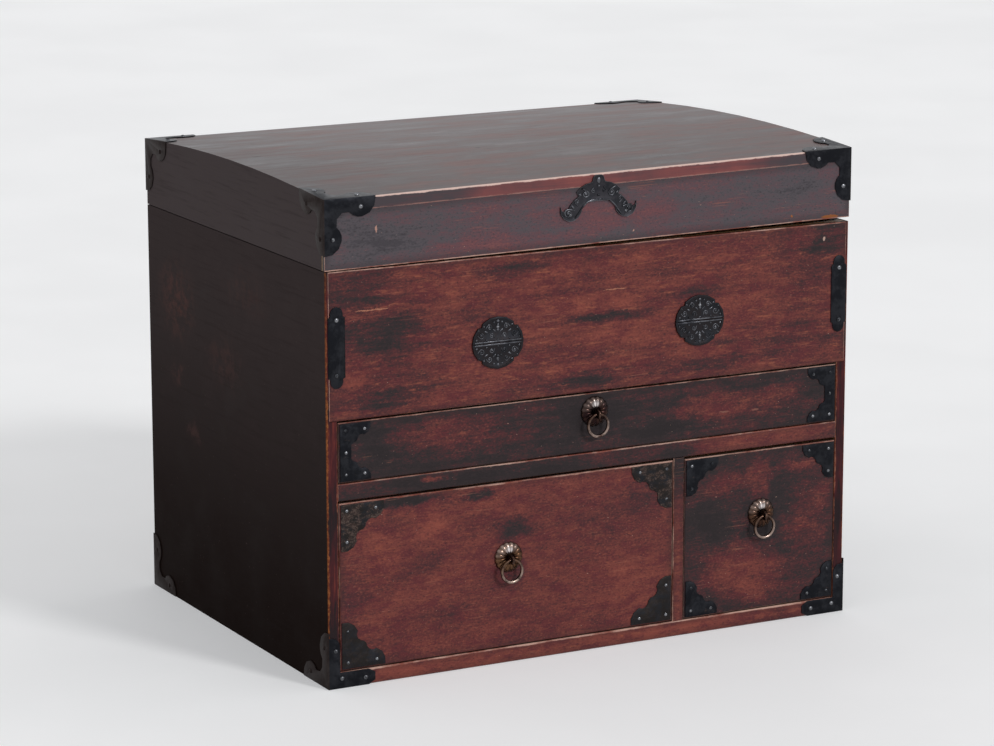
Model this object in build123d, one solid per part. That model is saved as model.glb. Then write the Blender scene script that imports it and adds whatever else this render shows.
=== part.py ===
from build123d import *
from math import cos, radians, sin, sqrt
import os

# Small lacquered wooden chest with iron fittings: a lidded compartment on top, one wide drawer under
# it and two drawers side by side at the bottom. Millimetres, X to the right, front facing -Y, +Z up,
# origin at the centre of the footprint on the floor.

# Driving dimensions of the case
WIDTH = 380.0
DEPTH = 278.0
BODY_HEIGHT = 265.0
SIDE_BOARD = 7.5
BACK_BOARD = 6.0
BOTTOM_BOARD = 10.4
SHELF_BOTTOM = 120.0
SHELF_BOARD = 11.2
COMPARTMENT_BOTTOM = 171.0
COMPARTMENT_FLOOR = 7.0
FRONT_BOARD = 9.0
FRONT_BOARD_LIP = 2.0
DIVIDER_LEFT = 58.3
DIVIDER_BOARD = 8.2
TONGUE_DEPTH = 3.0
TONGUE_SHOULDER = 2.4
TONGUE_STOP = 10.0
BACK_REBATE = 3.5
WORN_EDGE = 1.1

# Lid
LID_GAP = 0.6
LID_CORNER_HEIGHT = 309.4
LID_CROWN = 5.5
LID_TWIST = 4.0
LID_GAPE = 2.4
LID_FLATS = 8
LID_BOARD = 7.5
LID_REBATE = 3.5

# Iron fittings
PLATE = 0.7
ARC_CUTS = 3
CAP_ARM = 34.5
BASE_SIDE_ARM = 36.5
STRAP_HALF_WIDTH = 5.8
STRAP_HALF_LENGTH = 25.7
STRAP_X = 182.8
STRAP_Z = 217.5
STRAP_NAIL = 17.4
MEDALLION_Z = 209.9
MEDALLION_X = (-71.0, 76.4)
MEDALLION_HALF_WIDTH = 18.2
MEDALLION_HALF_HEIGHT = 16.8
MEDALLION_RIM = 0.5
MEDALLION_NAIL = 10.0
SEAM_GAP = 0.3
ORNAMENT_X = 1.0
ORNAMENT_Z = 282.1
ORNAMENT_PLATE = 1.1

# Hinges on the back
HINGE_X = 112.0
HINGE_HALF_LENGTH = 18.0
HINGE_LEAF_HEIGHT = 22.0
HINGE_LEAF = 1.0
KNUCKLE_RADIUS = 2.2
KNUCKLE_SIDES = 10
KNUCKLE_SPLIT = 6.0
KNUCKLE_GAP = 0.2
PIN_RADIUS = 1.1
PIN_HEAD_RADIUS = 1.7
PIN_HEAD = 0.8
PIN_FIT = 0.05
HINGE_Y = DEPTH / 2 + 2.3
HINGE_Z = BODY_HEIGHT + LID_GAP / 2

# Drawers
DRAWER_FRONT = 10.0
DRAWER_SIDE = 6.0
DRAWER_BACK = 6.0
DRAWER_BOTTOM = 4.0
DRAWER_LAP = 4.0
DRAWER_SIDE_GAP = 0.4
DRAWER_RUN_GAP = 0.1
DRAWER_FRONT_LIFT = 0.5
DRAWER_END_GAP = 2.0
DRAWER_SIDE_DROP = 1.5
DRAWER_BACK_DROP = 6.0
DRAWER_EDGE = 0.7
DRAWER_PLATE = 0.6

# Ring pulls: a fluted rosette, a split-pin eye and a hanging ring
ROSETTE_RADIUS = 10.0
ROSETTE_HEIGHT = 3.2
ROSETTE_PETALS = 16
PETAL_VALLEY = 0.9
EYE_STANDOFF = 5.2
EYE_DROP = 1.0
EYE_RADIUS = 2.15
EYE_WIRE = 0.9
EYE_SIDES = 10
SHANK_SIDES = 8
SHANK_RADIUS = 1.1
SHANK_HOLE = 1.2
LEG_LENGTH = 7.0
LEG_SIZE = 1.4
RING_RADIUS = 7.2
RING_WIRE = 1.0
RING_SIDES = 18

# Hand-forged nails with four-sided heads
NAIL_HEAD = 1.4
NAIL_HEAD_HEIGHT = 0.8
NAIL_HEAD_TAPER = 38
NAIL_SHANK = 0.9
SMALL_NAIL = 0.75

HALF_W = WIDTH / 2
HALF_D = DEPTH / 2
FRONT_Y = -HALF_D
BACK_INNER_Y = HALF_D - BACK_BOARD
INNER_X = HALF_W - SIDE_BOARD
SHELF_TOP = SHELF_BOTTOM + SHELF_BOARD
COMPARTMENT_TOP = COMPARTMENT_BOTTOM + COMPARTMENT_FLOOR
DIVIDER_RIGHT = DIVIDER_LEFT + DIVIDER_BOARD
LID_BOTTOM = BODY_HEIGHT + LID_GAP
LID_FLAT = DEPTH / LID_FLATS

# Plane of the front face, its normal pointing out of the chest
FRONT = Plane((0, -HALF_D, 0), x_dir=(1, 0, 0), z_dir=(0, -1, 0))


def block(x, y, z):
    """A box between a low and a high limit along each axis."""
    spans = (x, y, z)
    size = [high - low for low, high in spans]
    centre = [(high + low) / 2 for low, high in spans]
    return Pos(*centre) * Box(*size)


def outline(start, *steps, cuts=ARC_CUTS):
    """A face bounded by lines, given as (end,), and arcs, given as (middle, end).

    Each arc is cut in a few short straight strokes, as with a chisel; with no cuts it stays round.
    """
    edges = []
    here = start
    for step in steps:
        end = step[-1]
        if len(step) == 1:
            edges.append(Line(here, end))
        elif cuts:
            arc = ThreePointArc(here, step[0], end)
            edges.append(Polyline(*[arc @ (stroke / cuts) for stroke in range(cuts + 1)]))
        else:
            edges.append(ThreePointArc(here, step[0], end))
        here = end
    if here != start:
        edges.append(Line(here, start))
    return make_face(edges)


def nails(plane, places, plate, scale=1.0):
    """Forged nails through a plate's outer face, at places given in the plane's own x and y.

    Each shank is drawn as far as the wood behind the plate.
    """
    head = extrude(RegularPolygon(NAIL_HEAD * scale, 4), NAIL_HEAD_HEIGHT * scale, taper=NAIL_HEAD_TAPER)
    shank = extrude(Rectangle(NAIL_SHANK * scale, NAIL_SHANK * scale), -plate)
    nail = head + shank
    return [plane * Pos(x, y, 0) * nail for x, y in places]


def arch_rise(y):
    """Rise of the lid's arch over its front and back edges, in flats that carry on past the edges."""
    flat = min(max(int((y + HALF_D) // LID_FLAT), 0), LID_FLATS - 1)
    start = flat * LID_FLAT - HALF_D
    low, high = [LID_CROWN * (1 - (edge / HALF_D)**2) for edge in (start, start + LID_FLAT)]
    return low + (high - low) * (y - start) / LID_FLAT


def lid_z(x, y):
    """Height of the lid's top, which has twisted up at its front right corner."""
    return LID_CORNER_HEIGHT + arch_rise(y) + LID_TWIST * (x + HALF_W) / WIDTH * (HALF_D - y) / DEPTH


def under_lid(offset):
    """The space under the lid's top, or under a copy of it moved up by the offset."""
    floor = BODY_HEIGHT
    reach_x = HALF_W + 2 * PLATE
    reach_y = HALF_D + 2 * PLATE
    rows = [-reach_y] + [flat * LID_FLAT - HALF_D for flat in range(1, LID_FLATS)] + [reach_y]
    left, right = [[(x, y, lid_z(x, y) + offset) for y in rows] for x in (-reach_x, reach_x)]
    low_left, low_right = [[(x, y, floor) for y in (-reach_y, reach_y)] for x in (-reach_x, reach_x)]
    facets = [
        low_left + low_right[::-1],
        low_left + left[::-1],
        low_right + right[::-1],
        [low_left[0], low_right[0], right[0], left[0]],
        [low_left[1], low_right[1], right[-1], left[-1]],
    ]
    for here in range(LID_FLATS):
        facets.append([left[here], right[here], right[here + 1]])
        facets.append([left[here], right[here + 1], left[here + 1]])
    return Solid(Shell([Face(Wire.make_polygon(points)) for points in facets]))


def lid_piece(x, y, offset):
    """The part of the space under the lid's top that lies between limits in x and y."""
    return under_lid(offset) & block(x, y, (BODY_HEIGHT, 2 * BODY_HEIGHT))


def span(a, b):
    """Two limits, the lower first."""
    return (min(a, b), max(a, b))


# ---------------------------------------------------------------- case boards


def side_board_left():
    """Outer board with a front rebate, a back rebate and stopped housings for three shelves."""
    inner = (-INNER_X - TONGUE_DEPTH, -INNER_X)
    housed = (FRONT_Y + TONGUE_STOP, BACK_INNER_Y)
    board = block((-HALF_W, -INNER_X), (FRONT_Y, HALF_D), (0, BODY_HEIGHT))
    upright = board.edges().filter_by(Axis.Z).group_by(Axis.Y)[0]
    board = fillet(upright, WORN_EDGE)
    board -= block(
        (-HALF_W + FRONT_BOARD_LIP, -INNER_X),
        (FRONT_Y, FRONT_Y + FRONT_BOARD),
        (COMPARTMENT_BOTTOM, BODY_HEIGHT),
    )
    board -= block((-INNER_X - BACK_REBATE, -INNER_X), (BACK_INNER_Y, HALF_D), (0, BODY_HEIGHT))
    board -= block(inner, housed, (TONGUE_SHOULDER, BOTTOM_BOARD - TONGUE_SHOULDER))
    board -= block(inner, housed, (SHELF_BOTTOM + TONGUE_SHOULDER, SHELF_TOP - TONGUE_SHOULDER))
    board -= block(inner, (FRONT_Y + FRONT_BOARD, BACK_INNER_Y), (COMPARTMENT_BOTTOM, COMPARTMENT_TOP))
    return board


def tongued_shelf(z):
    """A full-depth board whose ends carry stopped tongues for the side boards."""
    low, high = z
    board = block((-INNER_X, INNER_X), (FRONT_Y, BACK_INNER_Y), z)
    front_edges = board.edges().filter_by(Axis.X).group_by(Axis.Y)[0]
    board = fillet(front_edges, WORN_EDGE)
    return board + block(
        (-INNER_X - TONGUE_DEPTH, INNER_X + TONGUE_DEPTH),
        (FRONT_Y + TONGUE_STOP, BACK_INNER_Y),
        (low + TONGUE_SHOULDER, high - TONGUE_SHOULDER),
    )


def divider_housing(z):
    """The space of the divider's tongue between two heights."""
    return block(
        (DIVIDER_LEFT + TONGUE_SHOULDER / 2, DIVIDER_RIGHT - TONGUE_SHOULDER / 2),
        (FRONT_Y + TONGUE_STOP, BACK_INNER_Y),
        z,
    )


def drawer_divider():
    board = block((DIVIDER_LEFT, DIVIDER_RIGHT), (FRONT_Y, BACK_INNER_Y), (BOTTOM_BOARD, SHELF_BOTTOM))
    board = fillet(board.edges().filter_by(Axis.Z).group_by(Axis.Y)[0], WORN_EDGE)
    return board + divider_housing((BOTTOM_BOARD - TONGUE_SHOULDER, SHELF_BOTTOM + TONGUE_SHOULDER))


def upper_front_board():
    """Fixed front of the lidded compartment, let into rebates of the side boards."""
    reach = HALF_W - FRONT_BOARD_LIP
    board = block(
        (-reach, reach),
        (FRONT_Y, FRONT_Y + FRONT_BOARD),
        (COMPARTMENT_BOTTOM, BODY_HEIGHT),
    )
    return fillet(board.edges().filter_by(Axis.X).group_by(Axis.Y)[0], WORN_EDGE)


def compartment_floor():
    return block(
        (-INNER_X - TONGUE_DEPTH, INNER_X + TONGUE_DEPTH),
        (FRONT_Y + FRONT_BOARD, BACK_INNER_Y),
        (COMPARTMENT_BOTTOM, COMPARTMENT_TOP),
    )


def back_board():
    reach = INNER_X + BACK_REBATE
    return block((-reach, reach), (BACK_INNER_Y, HALF_D), (0, BODY_HEIGHT))


# ---------------------------------------------------------------- iron corner caps and plates


def scalloped_corner(arm, margin):
    """L-shaped plate for a corner at (0, 0): two lobed arms with a round bite between them."""
    s = arm / CAP_ARM
    return outline(
        (-margin, -margin),
        ((arm, -margin),),
        ((arm, 0),),
        ((32.4 * s, 7.4 * s), (25.5 * s, 11.4 * s)),
        ((20.6 * s, 10.8 * s), (17.0 * s, 8.0 * s)),
        ((9.7 * s, 9.7 * s), (8.0 * s, 17.0 * s)),
        ((10.8 * s, 20.6 * s), (11.4 * s, 25.5 * s)),
        ((7.4 * s, 32.4 * s), (0, arm)),
        ((-margin, arm),),
    )


CAP_NAILS = ((24.5, 5.2), (5.2, 24.5))


def lid_cap(x_side, y_side):
    """Three-sided cap on one corner of the lid, its top plate bent to the lid's arch."""
    reach = CAP_ARM + 1
    margin = 2 * PLATE
    turn = x_side * y_side
    x0 = x_side * HALF_W
    y0 = y_side * HALF_D
    z0 = lid_z(x0, y0)
    wrapped = lid_piece(
        span(x0 + x_side * PLATE, x0 - x_side * reach),
        span(y0 + y_side * PLATE, y0 - y_side * reach),
        PLATE,
    )
    wood = lid_piece(span(x0, x0 - 2 * x_side * reach), span(y0, y0 - 2 * y_side * reach), 0)
    skin = wrapped - wood
    shape = scalloped_corner(CAP_ARM, margin)
    front = Plane((x0, y0, z0), x_dir=(-x_side, 0, 0), z_dir=(0, -x_side, 0)) * shape
    side = Plane((x0, y0, z0), x_dir=(0, -y_side, 0), z_dir=(y_side, 0, 0)) * shape
    top = Plane((x0, y0, z0 - 1), x_dir=(-x_side, 0, 0), z_dir=(0, 0, turn)) * shape
    cap = skin & extrude(front, -turn * margin)
    cap += skin & extrude(side, turn * margin)
    cap += skin & extrude(top, turn * (LID_CROWN + 1))
    return cap


def lid_cap_nails(x_side, y_side):
    """Two nails through each of the front, side and top plates of one cap."""
    x0 = x_side * HALF_W
    y0 = y_side * HALF_D
    z0 = lid_z(x0, y0)
    driven = []
    for along, inward in CAP_NAILS:
        x = x0 - x_side * along
        y = y0 - y_side * along
        driven += nails(Plane((x, y0 + y_side * PLATE, z0 - inward), z_dir=(0, y_side, 0)), [(0, 0)], PLATE)
        driven += nails(Plane((x0 + x_side * PLATE, y, z0 - inward), z_dir=(x_side, 0, 0)), [(0, 0)], PLATE)
        y = y0 - y_side * inward
        slope_x = lid_z(x + 0.5, y) - lid_z(x - 0.5, y)
        slope_y = lid_z(x, y + 0.5) - lid_z(x, y - 0.5)
        driven += nails(Plane((x, y, lid_z(x, y) + PLATE), z_dir=(-slope_x, -slope_y, 1)), [(0, 0)], PLATE)
    return driven


BASE_ARM = 32.5
BASE_ARM_HEIGHT = 10.2
BASE_POST_WIDTH = 7.4
BASE_POST_HEIGHT = 33.0
BASE_FRONT_NAILS = ((4.4, 24.5), (8.6, 6.4), (25.0, 5.0))


def base_cap():
    """Two-sided cap on the front left bottom corner: a narrow L in front, a scalloped L beside."""
    end = BASE_ARM - BASE_ARM_HEIGHT / 2
    narrow = outline(
        (-PLATE, 0),
        ((end, 0),),
        ((BASE_ARM, BASE_ARM_HEIGHT / 2), (end, BASE_ARM_HEIGHT)),
        ((BASE_POST_WIDTH, BASE_ARM_HEIGHT),),
        ((BASE_POST_WIDTH, BASE_POST_HEIGHT - 5),),
        ((BASE_POST_WIDTH - 1.6, BASE_POST_HEIGHT - 1.5), (1.5, BASE_POST_HEIGHT)),
        ((-PLATE, BASE_POST_HEIGHT),),
    )
    broad = scalloped_corner(BASE_SIDE_ARM, 2 * PLATE)
    corner = (-HALF_W, FRONT_Y, 0)
    front = extrude(Plane(corner, x_dir=(1, 0, 0), z_dir=(0, -1, 0)) * narrow, PLATE)
    side = extrude(Plane(corner, x_dir=(0, 1, 0), z_dir=(1, 0, 0)) * broad, -PLATE)
    side &= block((-HALF_W - PLATE, -HALF_W), (FRONT_Y - PLATE, 0), (0, BODY_HEIGHT))
    return front + side


def base_cap_nails():
    s = BASE_SIDE_ARM / CAP_ARM
    front = Plane((-HALF_W, FRONT_Y - PLATE, 0), x_dir=(1, 0, 0), z_dir=(0, -1, 0))
    side = Plane((-HALF_W - PLATE, FRONT_Y, 0), x_dir=(0, -1, 0), z_dir=(-1, 0, 0))
    driven = nails(front, BASE_FRONT_NAILS, PLATE)
    driven += nails(side, [(-along * s, up * s) for along, up in CAP_NAILS], PLATE)
    return driven


def front_strap(x):
    """Upright iron strap with stepped, bullet-shaped ends over a front joint."""
    w = STRAP_HALF_WIDTH
    h = STRAP_HALF_LENGTH
    shoulder = h - 6.8
    quarter = (
        ((w, shoulder),),
        ((w - 1.5, shoulder + 1.2), (w - 1.4, shoulder + 2.6)),
        ((w - 2.6, h - 1.4), (0, h)),
    )
    right_top = outline((0, 0), ((w, 0),), *quarter)
    top = right_top + mirror(right_top, about=Plane.YZ)
    shape = top + mirror(top, about=Plane.XZ)
    return extrude(FRONT * Pos(x, STRAP_Z) * shape, PLATE)


def medallion_outline(scale):
    """Four-lobed plate with a nick between neighbouring lobes."""
    nick = 0.88
    shoulder_angle = 38
    shoulder = 0.975
    steps = []
    start = None
    for quarter in range(4):
        axis = 90 * quarter
        points = []
        for angle, reach in (
            (axis - shoulder_angle, shoulder),
            (axis, 1.0),
            (axis + shoulder_angle, shoulder),
            (axis + 45, nick),
        ):
            x = MEDALLION_HALF_WIDTH * reach * scale * cos(radians(angle))
            y = MEDALLION_HALF_HEIGHT * reach * scale * sin(radians(angle))
            points.append((x, y))
        if start is None:
            start = points[0]
        else:
            steps.append((points[0],))
        steps.append((points[1], points[2]))
        steps.append((points[3],))
    return outline(start, *steps, cuts=ARC_CUTS + 1)


def medallion_half(x, side):
    """Upper or lower half of a medallion: a plate with a raised rim along every edge."""
    rim = 1.5
    window = Rectangle(2 * WIDTH, MEDALLION_HALF_HEIGHT, align=(Align.CENTER, Align.MIN))
    half = Pos(0, SEAM_GAP / 2) * window
    inner = Pos(0, SEAM_GAP / 2 + rim) * window
    if side < 0:
        half = mirror(half, about=Plane.XZ)
        inner = mirror(inner, about=Plane.XZ)
    plate = medallion_outline(1.0) & half
    field = medallion_outline(1.0 - rim / MEDALLION_HALF_WIDTH) & inner
    place = FRONT * Pos(x, MEDALLION_Z)
    return extrude(place * plate, PLATE + MEDALLION_RIM) - extrude(
        place * Pos(0, 0, PLATE) * field, MEDALLION_RIM
    )


def lid_ornament():
    """Arched plate with a finial, two shoulders and two curled feet."""
    half = outline(
        (0, 28.7),
        ((3.3, 27.9), (4.2, 25.4)),
        ((4.9, 24.1),),
        ((10.6, 22.7), (15.8, 18.7)),
        ((14.3, 15.9),),
        ((19.2, 12.1), (22.3, 7.4)),
        ((24.6, 6.6), (27.4, 9.9)),
        ((26.3, 3.6), (21.2, 0.2)),
        ((15.9, 1.5), (12.6, 5.3)),
        ((10.6, 10.0), (7.4, 11.8)),
        ((0, 12.1),),
    )
    shape = half + mirror(half, about=Plane.YZ)
    return extrude(FRONT * Pos(ORNAMENT_X, ORNAMENT_Z) * shape, ORNAMENT_PLATE)


ORNAMENT_NAILS = ((0.0, 25.2), (-20.2, 4.4), (20.2, 4.4))


# ---------------------------------------------------------------- hinges


def knuckle(x0, x1, hole):
    """Barrel hammered round the pin, many-sided outside and round inside."""
    along = Plane((x0, HINGE_Y, HINGE_Z), x_dir=(0, 1, 0), z_dir=(1, 0, 0))
    barrel = RegularPolygon(KNUCKLE_RADIUS, KNUCKLE_SIDES)
    return extrude(along * (barrel - Circle(hole)), x1 - x0)


def leaf_plate(side):
    """Flat of a hinge leaf with rounded outer corners; side is -1 for the case, +1 for the lid."""
    clear = KNUCKLE_RADIUS + 0.3
    near = HINGE_Z + side * clear
    far = HINGE_Z + side * (clear + HINGE_LEAF_HEIGHT)
    plate = block(
        (-HINGE_HALF_LENGTH, HINGE_HALF_LENGTH),
        (HALF_D, HALF_D + HINGE_LEAF),
        (min(near, far), max(near, far)),
    )
    outer = plate.edges().filter_by(Axis.Y).group_by(Axis.Z)
    return fillet(outer[0] if side < 0 else outer[-1], 6.0)


def leaf_tab(x0, x1, side):
    """Strip that joins a leaf's flat to one knuckle."""
    end = HINGE_Z + side * (KNUCKLE_RADIUS + 0.3)
    return block((x0, x1), (HALF_D, HALF_D + HINGE_LEAF), (min(HINGE_Z, end), max(HINGE_Z, end)))


def body_hinge_leaf():
    hole = PIN_RADIUS + PIN_FIT
    bore = Plane((-2 * HINGE_HALF_LENGTH, HINGE_Y, HINGE_Z), x_dir=(0, 1, 0), z_dir=(1, 0, 0))
    leaf = leaf_plate(-1)
    for x0, x1 in ((-HINGE_HALF_LENGTH, -KNUCKLE_SPLIT), (KNUCKLE_SPLIT, HINGE_HALF_LENGTH)):
        leaf += leaf_tab(x0, x1, -1) + knuckle(x0, x1, hole)
    return leaf - extrude(bore * Circle(hole), 4 * HINGE_HALF_LENGTH)


def lid_hinge_leaf():
    hole = PIN_RADIUS + 1.6 * PIN_FIT
    end = KNUCKLE_SPLIT - KNUCKLE_GAP
    bore = Plane((-2 * end, HINGE_Y, HINGE_Z), x_dir=(0, 1, 0), z_dir=(1, 0, 0))
    leaf = leaf_plate(1) + leaf_tab(-end, end, 1) + knuckle(-end, end, hole)
    return leaf - extrude(bore * Circle(hole), 4 * end)


def hinge_pin():
    reach = HINGE_HALF_LENGTH + PIN_FIT
    along = Plane((-reach - PIN_HEAD, HINGE_Y, HINGE_Z), x_dir=(0, 1, 0), z_dir=(1, 0, 0))
    shaft = extrude(along * Circle(PIN_RADIUS), 2 * (reach + PIN_HEAD))
    head = extrude(along * RegularPolygon(PIN_HEAD_RADIUS, SHANK_SIDES), PIN_HEAD)
    return shaft + head + mirror(head, about=Plane.YZ)


LEAF_NAILS = ((-9.0, 14.0), (9.0, 14.0))


def leaf_nails(side):
    """Two nails in a leaf, in the back plane at the hinge centre."""
    plane = Plane((0, HALF_D + HINGE_LEAF, HINGE_Z), x_dir=(-1, 0, 0), z_dir=(0, 1, 0))
    return nails(plane, [(x, side * z) for x, z in LEAF_NAILS], HINGE_LEAF)


# ---------------------------------------------------------------- lid boards


def worn_arris(y_side):
    """The strip worn off the top board's front or back arris."""
    y0 = y_side * HALF_D
    low, high = [lid_z(x, y0) for x in (-WIDTH, WIDTH)]
    profile = Polyline(
        (y0 + y_side, low - WORN_EDGE - 1),
        (y0 - y_side * (WORN_EDGE + 1), low + 1),
        (y0 + y_side, low + 1),
        close=True,
    )
    section = Plane((-WIDTH, 0, 0), x_dir=(0, 1, 0), z_dir=(1, 0, 0)) * make_face(profile)
    return extrude(section, sqrt(4 * WIDTH**2 + (high - low)**2), dir=(2 * WIDTH, 0, high - low))


def lid_top_board():
    """Arched board over the lid frame, as wide and deep as the case."""
    board = lid_piece((-HALF_W, HALF_W), (-HALF_D, HALF_D), 0)
    board -= under_lid(-LID_BOARD)
    return board - worn_arris(-1) - worn_arris(1)


def lid_frame_piece(x, y):
    """A board of the lid's frame, cut off below where the twisted lid stands off the case."""
    rest = Plane(
        (HALF_W, FRONT_Y, LID_BOTTOM + LID_GAPE),
        z_dir=(-LID_GAPE / WIDTH, LID_GAPE / DEPTH, 1),
    )
    below = rest * Box(4 * WIDTH, 4 * WIDTH, BODY_HEIGHT / 2, align=(Align.CENTER, Align.CENTER, Align.MAX))
    board = lid_piece(x, y, -LID_BOARD) - block(x, y, (0, LID_BOTTOM))
    return board - below


def lid_rail(y_side):
    """Rail across the lid's front or back, with end rebates that take the arched ends."""
    y = span(y_side * HALF_D, y_side * (HALF_D - LID_BOARD))
    rail = lid_frame_piece((-HALF_W, HALF_W), y)
    for x_side in (-1, 1):
        end = span(x_side * HALF_W, x_side * (HALF_W - LID_BOARD))
        rebate = span(y_side * (HALF_D - LID_BOARD), y_side * (HALF_D - LID_BOARD + LID_REBATE))
        rail -= block(end, rebate, (LID_BOTTOM, 2 * BODY_HEIGHT))
    return rail


def lid_end(x_side):
    reach = HALF_D - LID_BOARD + LID_REBATE
    return lid_frame_piece(span(x_side * HALF_W, x_side * (HALF_W - LID_BOARD)), (-reach, reach))


# ---------------------------------------------------------------- drawers


def stepped_corner(arm):
    """Flat corner plate of a drawer front: two lobes and a small step between them."""
    s = arm / 30.0
    return outline(
        (0, 0),
        ((30.0 * s, 0),),
        ((29.0 * s, 7.0 * s), (24.0 * s, 11.0 * s)),
        ((20.0 * s, 10.6 * s), (17.4 * s, 13.2 * s)),
        ((16.2 * s, 16.2 * s), (13.2 * s, 17.4 * s)),
        ((10.6 * s, 20.0 * s), (11.0 * s, 24.0 * s)),
        ((7.0 * s, 29.0 * s), (0, 30.0 * s)),
    )


def petal_points(reach, height):
    """Sixteen-petal outline at one height of the rosette: a valley and two ridge points per petal."""
    turn = 360 / ROSETTE_PETALS
    points = []
    for petal in range(ROSETTE_PETALS):
        for share, out in ((0.0, reach * PETAL_VALLEY), (0.3, reach), (0.7, reach)):
            angle = radians((petal + share) * turn)
            points.append((out * cos(angle), out * sin(angle), height))
    return points


def ring_rosette():
    """Chrysanthemum rosette with a dished centre, standing on the plane z = 0 with its axis up."""
    levels = ((1.0, 0.0), (0.96, 0.35), (0.74, 0.92), (0.56, 1.0), (0.22, 0.55))
    rows = [petal_points(ROSETTE_RADIUS * reach, ROSETTE_HEIGHT * rise) for reach, rise in levels]
    facets = [rows[0], rows[-1]]
    for low, high in zip(rows, rows[1:]):
        for here in range(len(low)):
            after = (here + 1) % len(low)
            facets.append([low[here], low[after], high[after], high[here]])
    return Solid(Shell([Face(Wire.make_polygon(points)) for points in facets]))


def wire_ring(radius, wire, sides):
    """A ring about the Z axis, hammered from eight-sided wire into a many-sided round."""
    washer = RegularPolygon(radius + wire, sides) - RegularPolygon(radius - wire, sides)
    hoop = extrude(washer, wire, both=True)
    return chamfer(hoop.edges().filter_by(GeomType.LINE).filter_by(Axis.Z, reverse=True), wire * 0.55)


def ring_eye(thickness):
    """Split pin: a loop in front, a shank through the drawer front and two legs bent over behind."""
    loop = Pos(0, 0, EYE_STANDOFF) * Rot(0, 90, 0) * wire_ring(EYE_RADIUS, EYE_WIRE, EYE_SIDES)
    top = EYE_STANDOFF - EYE_RADIUS
    shank = extrude(Pos(0, 0, -thickness) * RegularPolygon(SHANK_RADIUS, SHANK_SIDES), top + thickness)
    legs = Pos(0, 0, -thickness) * Box(
        LEG_SIZE, 2 * LEG_LENGTH, LEG_SIZE / 2, align=(Align.CENTER, Align.CENTER, Align.MAX)
    )
    return loop + shank + legs


def pull_ring():
    """The ring, hanging from the eye's centre."""
    return Pos(0, -RING_RADIUS, EYE_STANDOFF) * wire_ring(RING_RADIUS, RING_WIRE, RING_SIDES)


def drawer(x, z, top_gap, pull, plate_arm, full_height_plates):
    """All pieces of one drawer in the opening between the x limits and the z limits."""
    x0 = x[0] + DRAWER_SIDE_GAP
    x1 = x[1] - DRAWER_SIDE_GAP
    run = z[0] + DRAWER_RUN_GAP
    z0 = z[0] + DRAWER_FRONT_LIFT
    z1 = z[1] - top_gap
    middle = Plane(((x0 + x1) / 2, 0, 0), x_dir=(0, 1, 0), z_dir=(1, 0, 0))
    back_y = BACK_INNER_Y - DRAWER_END_GAP
    front_back = FRONT_Y + DRAWER_FRONT
    lap_y = front_back - DRAWER_LAP
    floor_top = run + DRAWER_BOTTOM
    side_top = z1 - DRAWER_SIDE_DROP

    side = block((x0, x0 + DRAWER_SIDE), (lap_y, back_y), (floor_top, side_top))
    back = block(
        (x0 + DRAWER_SIDE / 2, x1 - DRAWER_SIDE / 2),
        (back_y - DRAWER_BACK, back_y),
        (floor_top, z1 - DRAWER_BACK_DROP),
    )
    side -= back
    bottom = block((x0, x1), (lap_y, back_y), (run, floor_top))

    front = block((x0, x1), (FRONT_Y, front_back), (z0, z1))
    front = chamfer(front.faces().sort_by(Axis.Y)[0].edges(), DRAWER_EDGE)
    rebate = block((x0, x0 + DRAWER_SIDE), (lap_y, front_back), (z0, z1))
    front -= rebate + mirror(rebate, about=middle)
    front -= bottom

    centre = FRONT * Pos(pull[0], pull[1] - EYE_DROP)
    hole = extrude(centre * RegularPolygon(SHANK_HOLE, SHANK_SIDES), -DRAWER_FRONT)
    front -= hole

    width = x1 - x0
    height = z1 - z0
    shape = stepped_corner(plate_arm)
    inset = 1.0
    corner = FRONT * Pos(x0 + inset, z0 + inset)
    plate = extrude(corner * shape, DRAWER_PLATE)
    rim = plate_arm / 30.0
    spots = [(4.0, 4.0), (24.0 * rim, 4.0), (4.0, 24.0 * rim)]
    if full_height_plates:
        spots[2] = (4.0, height / 2 - inset)
    face = Plane((0, FRONT_Y - DRAWER_PLATE, 0), x_dir=(1, 0, 0), z_dir=(0, -1, 0))
    low_nails = nails(face * Pos(x0 + inset, z0 + inset), spots, DRAWER_PLATE, SMALL_NAIL)
    mid_height = Plane((0, 0, (z0 + z1) / 2))
    top_spots = spots[:2] if full_height_plates else spots
    high_nails = nails(face * Pos(x0 + inset, z0 + inset), top_spots, DRAWER_PLATE, SMALL_NAIL)
    plates = [plate, mirror(plate, about=mid_height)]
    if full_height_plates:
        web = block(
            (x0 + inset, x0 + inset + 11.0 * rim),
            (FRONT_Y - DRAWER_PLATE, FRONT_Y),
            (z0 + inset, z1 - inset),
        )
        plates = [plates[0] + plates[1] + web]
    pins = low_nails + [mirror(nail, about=mid_height) for nail in high_nails]
    plates += [mirror(piece, about=middle) for piece in plates]
    pins += [mirror(nail, about=middle) for nail in pins]
    plates = [piece - group(pins) for piece in plates]

    rosette = centre * Pos(0, EYE_DROP) * ring_rosette()
    rosette -= extrude(centre * RegularPolygon(SHANK_HOLE, SHANK_SIDES), ROSETTE_HEIGHT * 2)
    return {
        "front": front,
        "sides": group([side, mirror(side, about=middle)]),
        "back": back,
        "bottom": bottom,
        "corner_plates": group(plates),
        "rosette": rosette,
        "ring_eye": centre * ring_eye(DRAWER_FRONT),
        "ring": centre * pull_ring(),
        "nails": group(pins),
    }


def four_corners(shapes):
    """The shapes of the front left corner, and their mirror images at the other three."""
    front = shapes + [mirror(shape, about=Plane.YZ) for shape in shapes]
    return front + [mirror(shape, about=Plane.XZ) for shape in front]


def group(shapes):
    return Compound(children=shapes)


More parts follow.
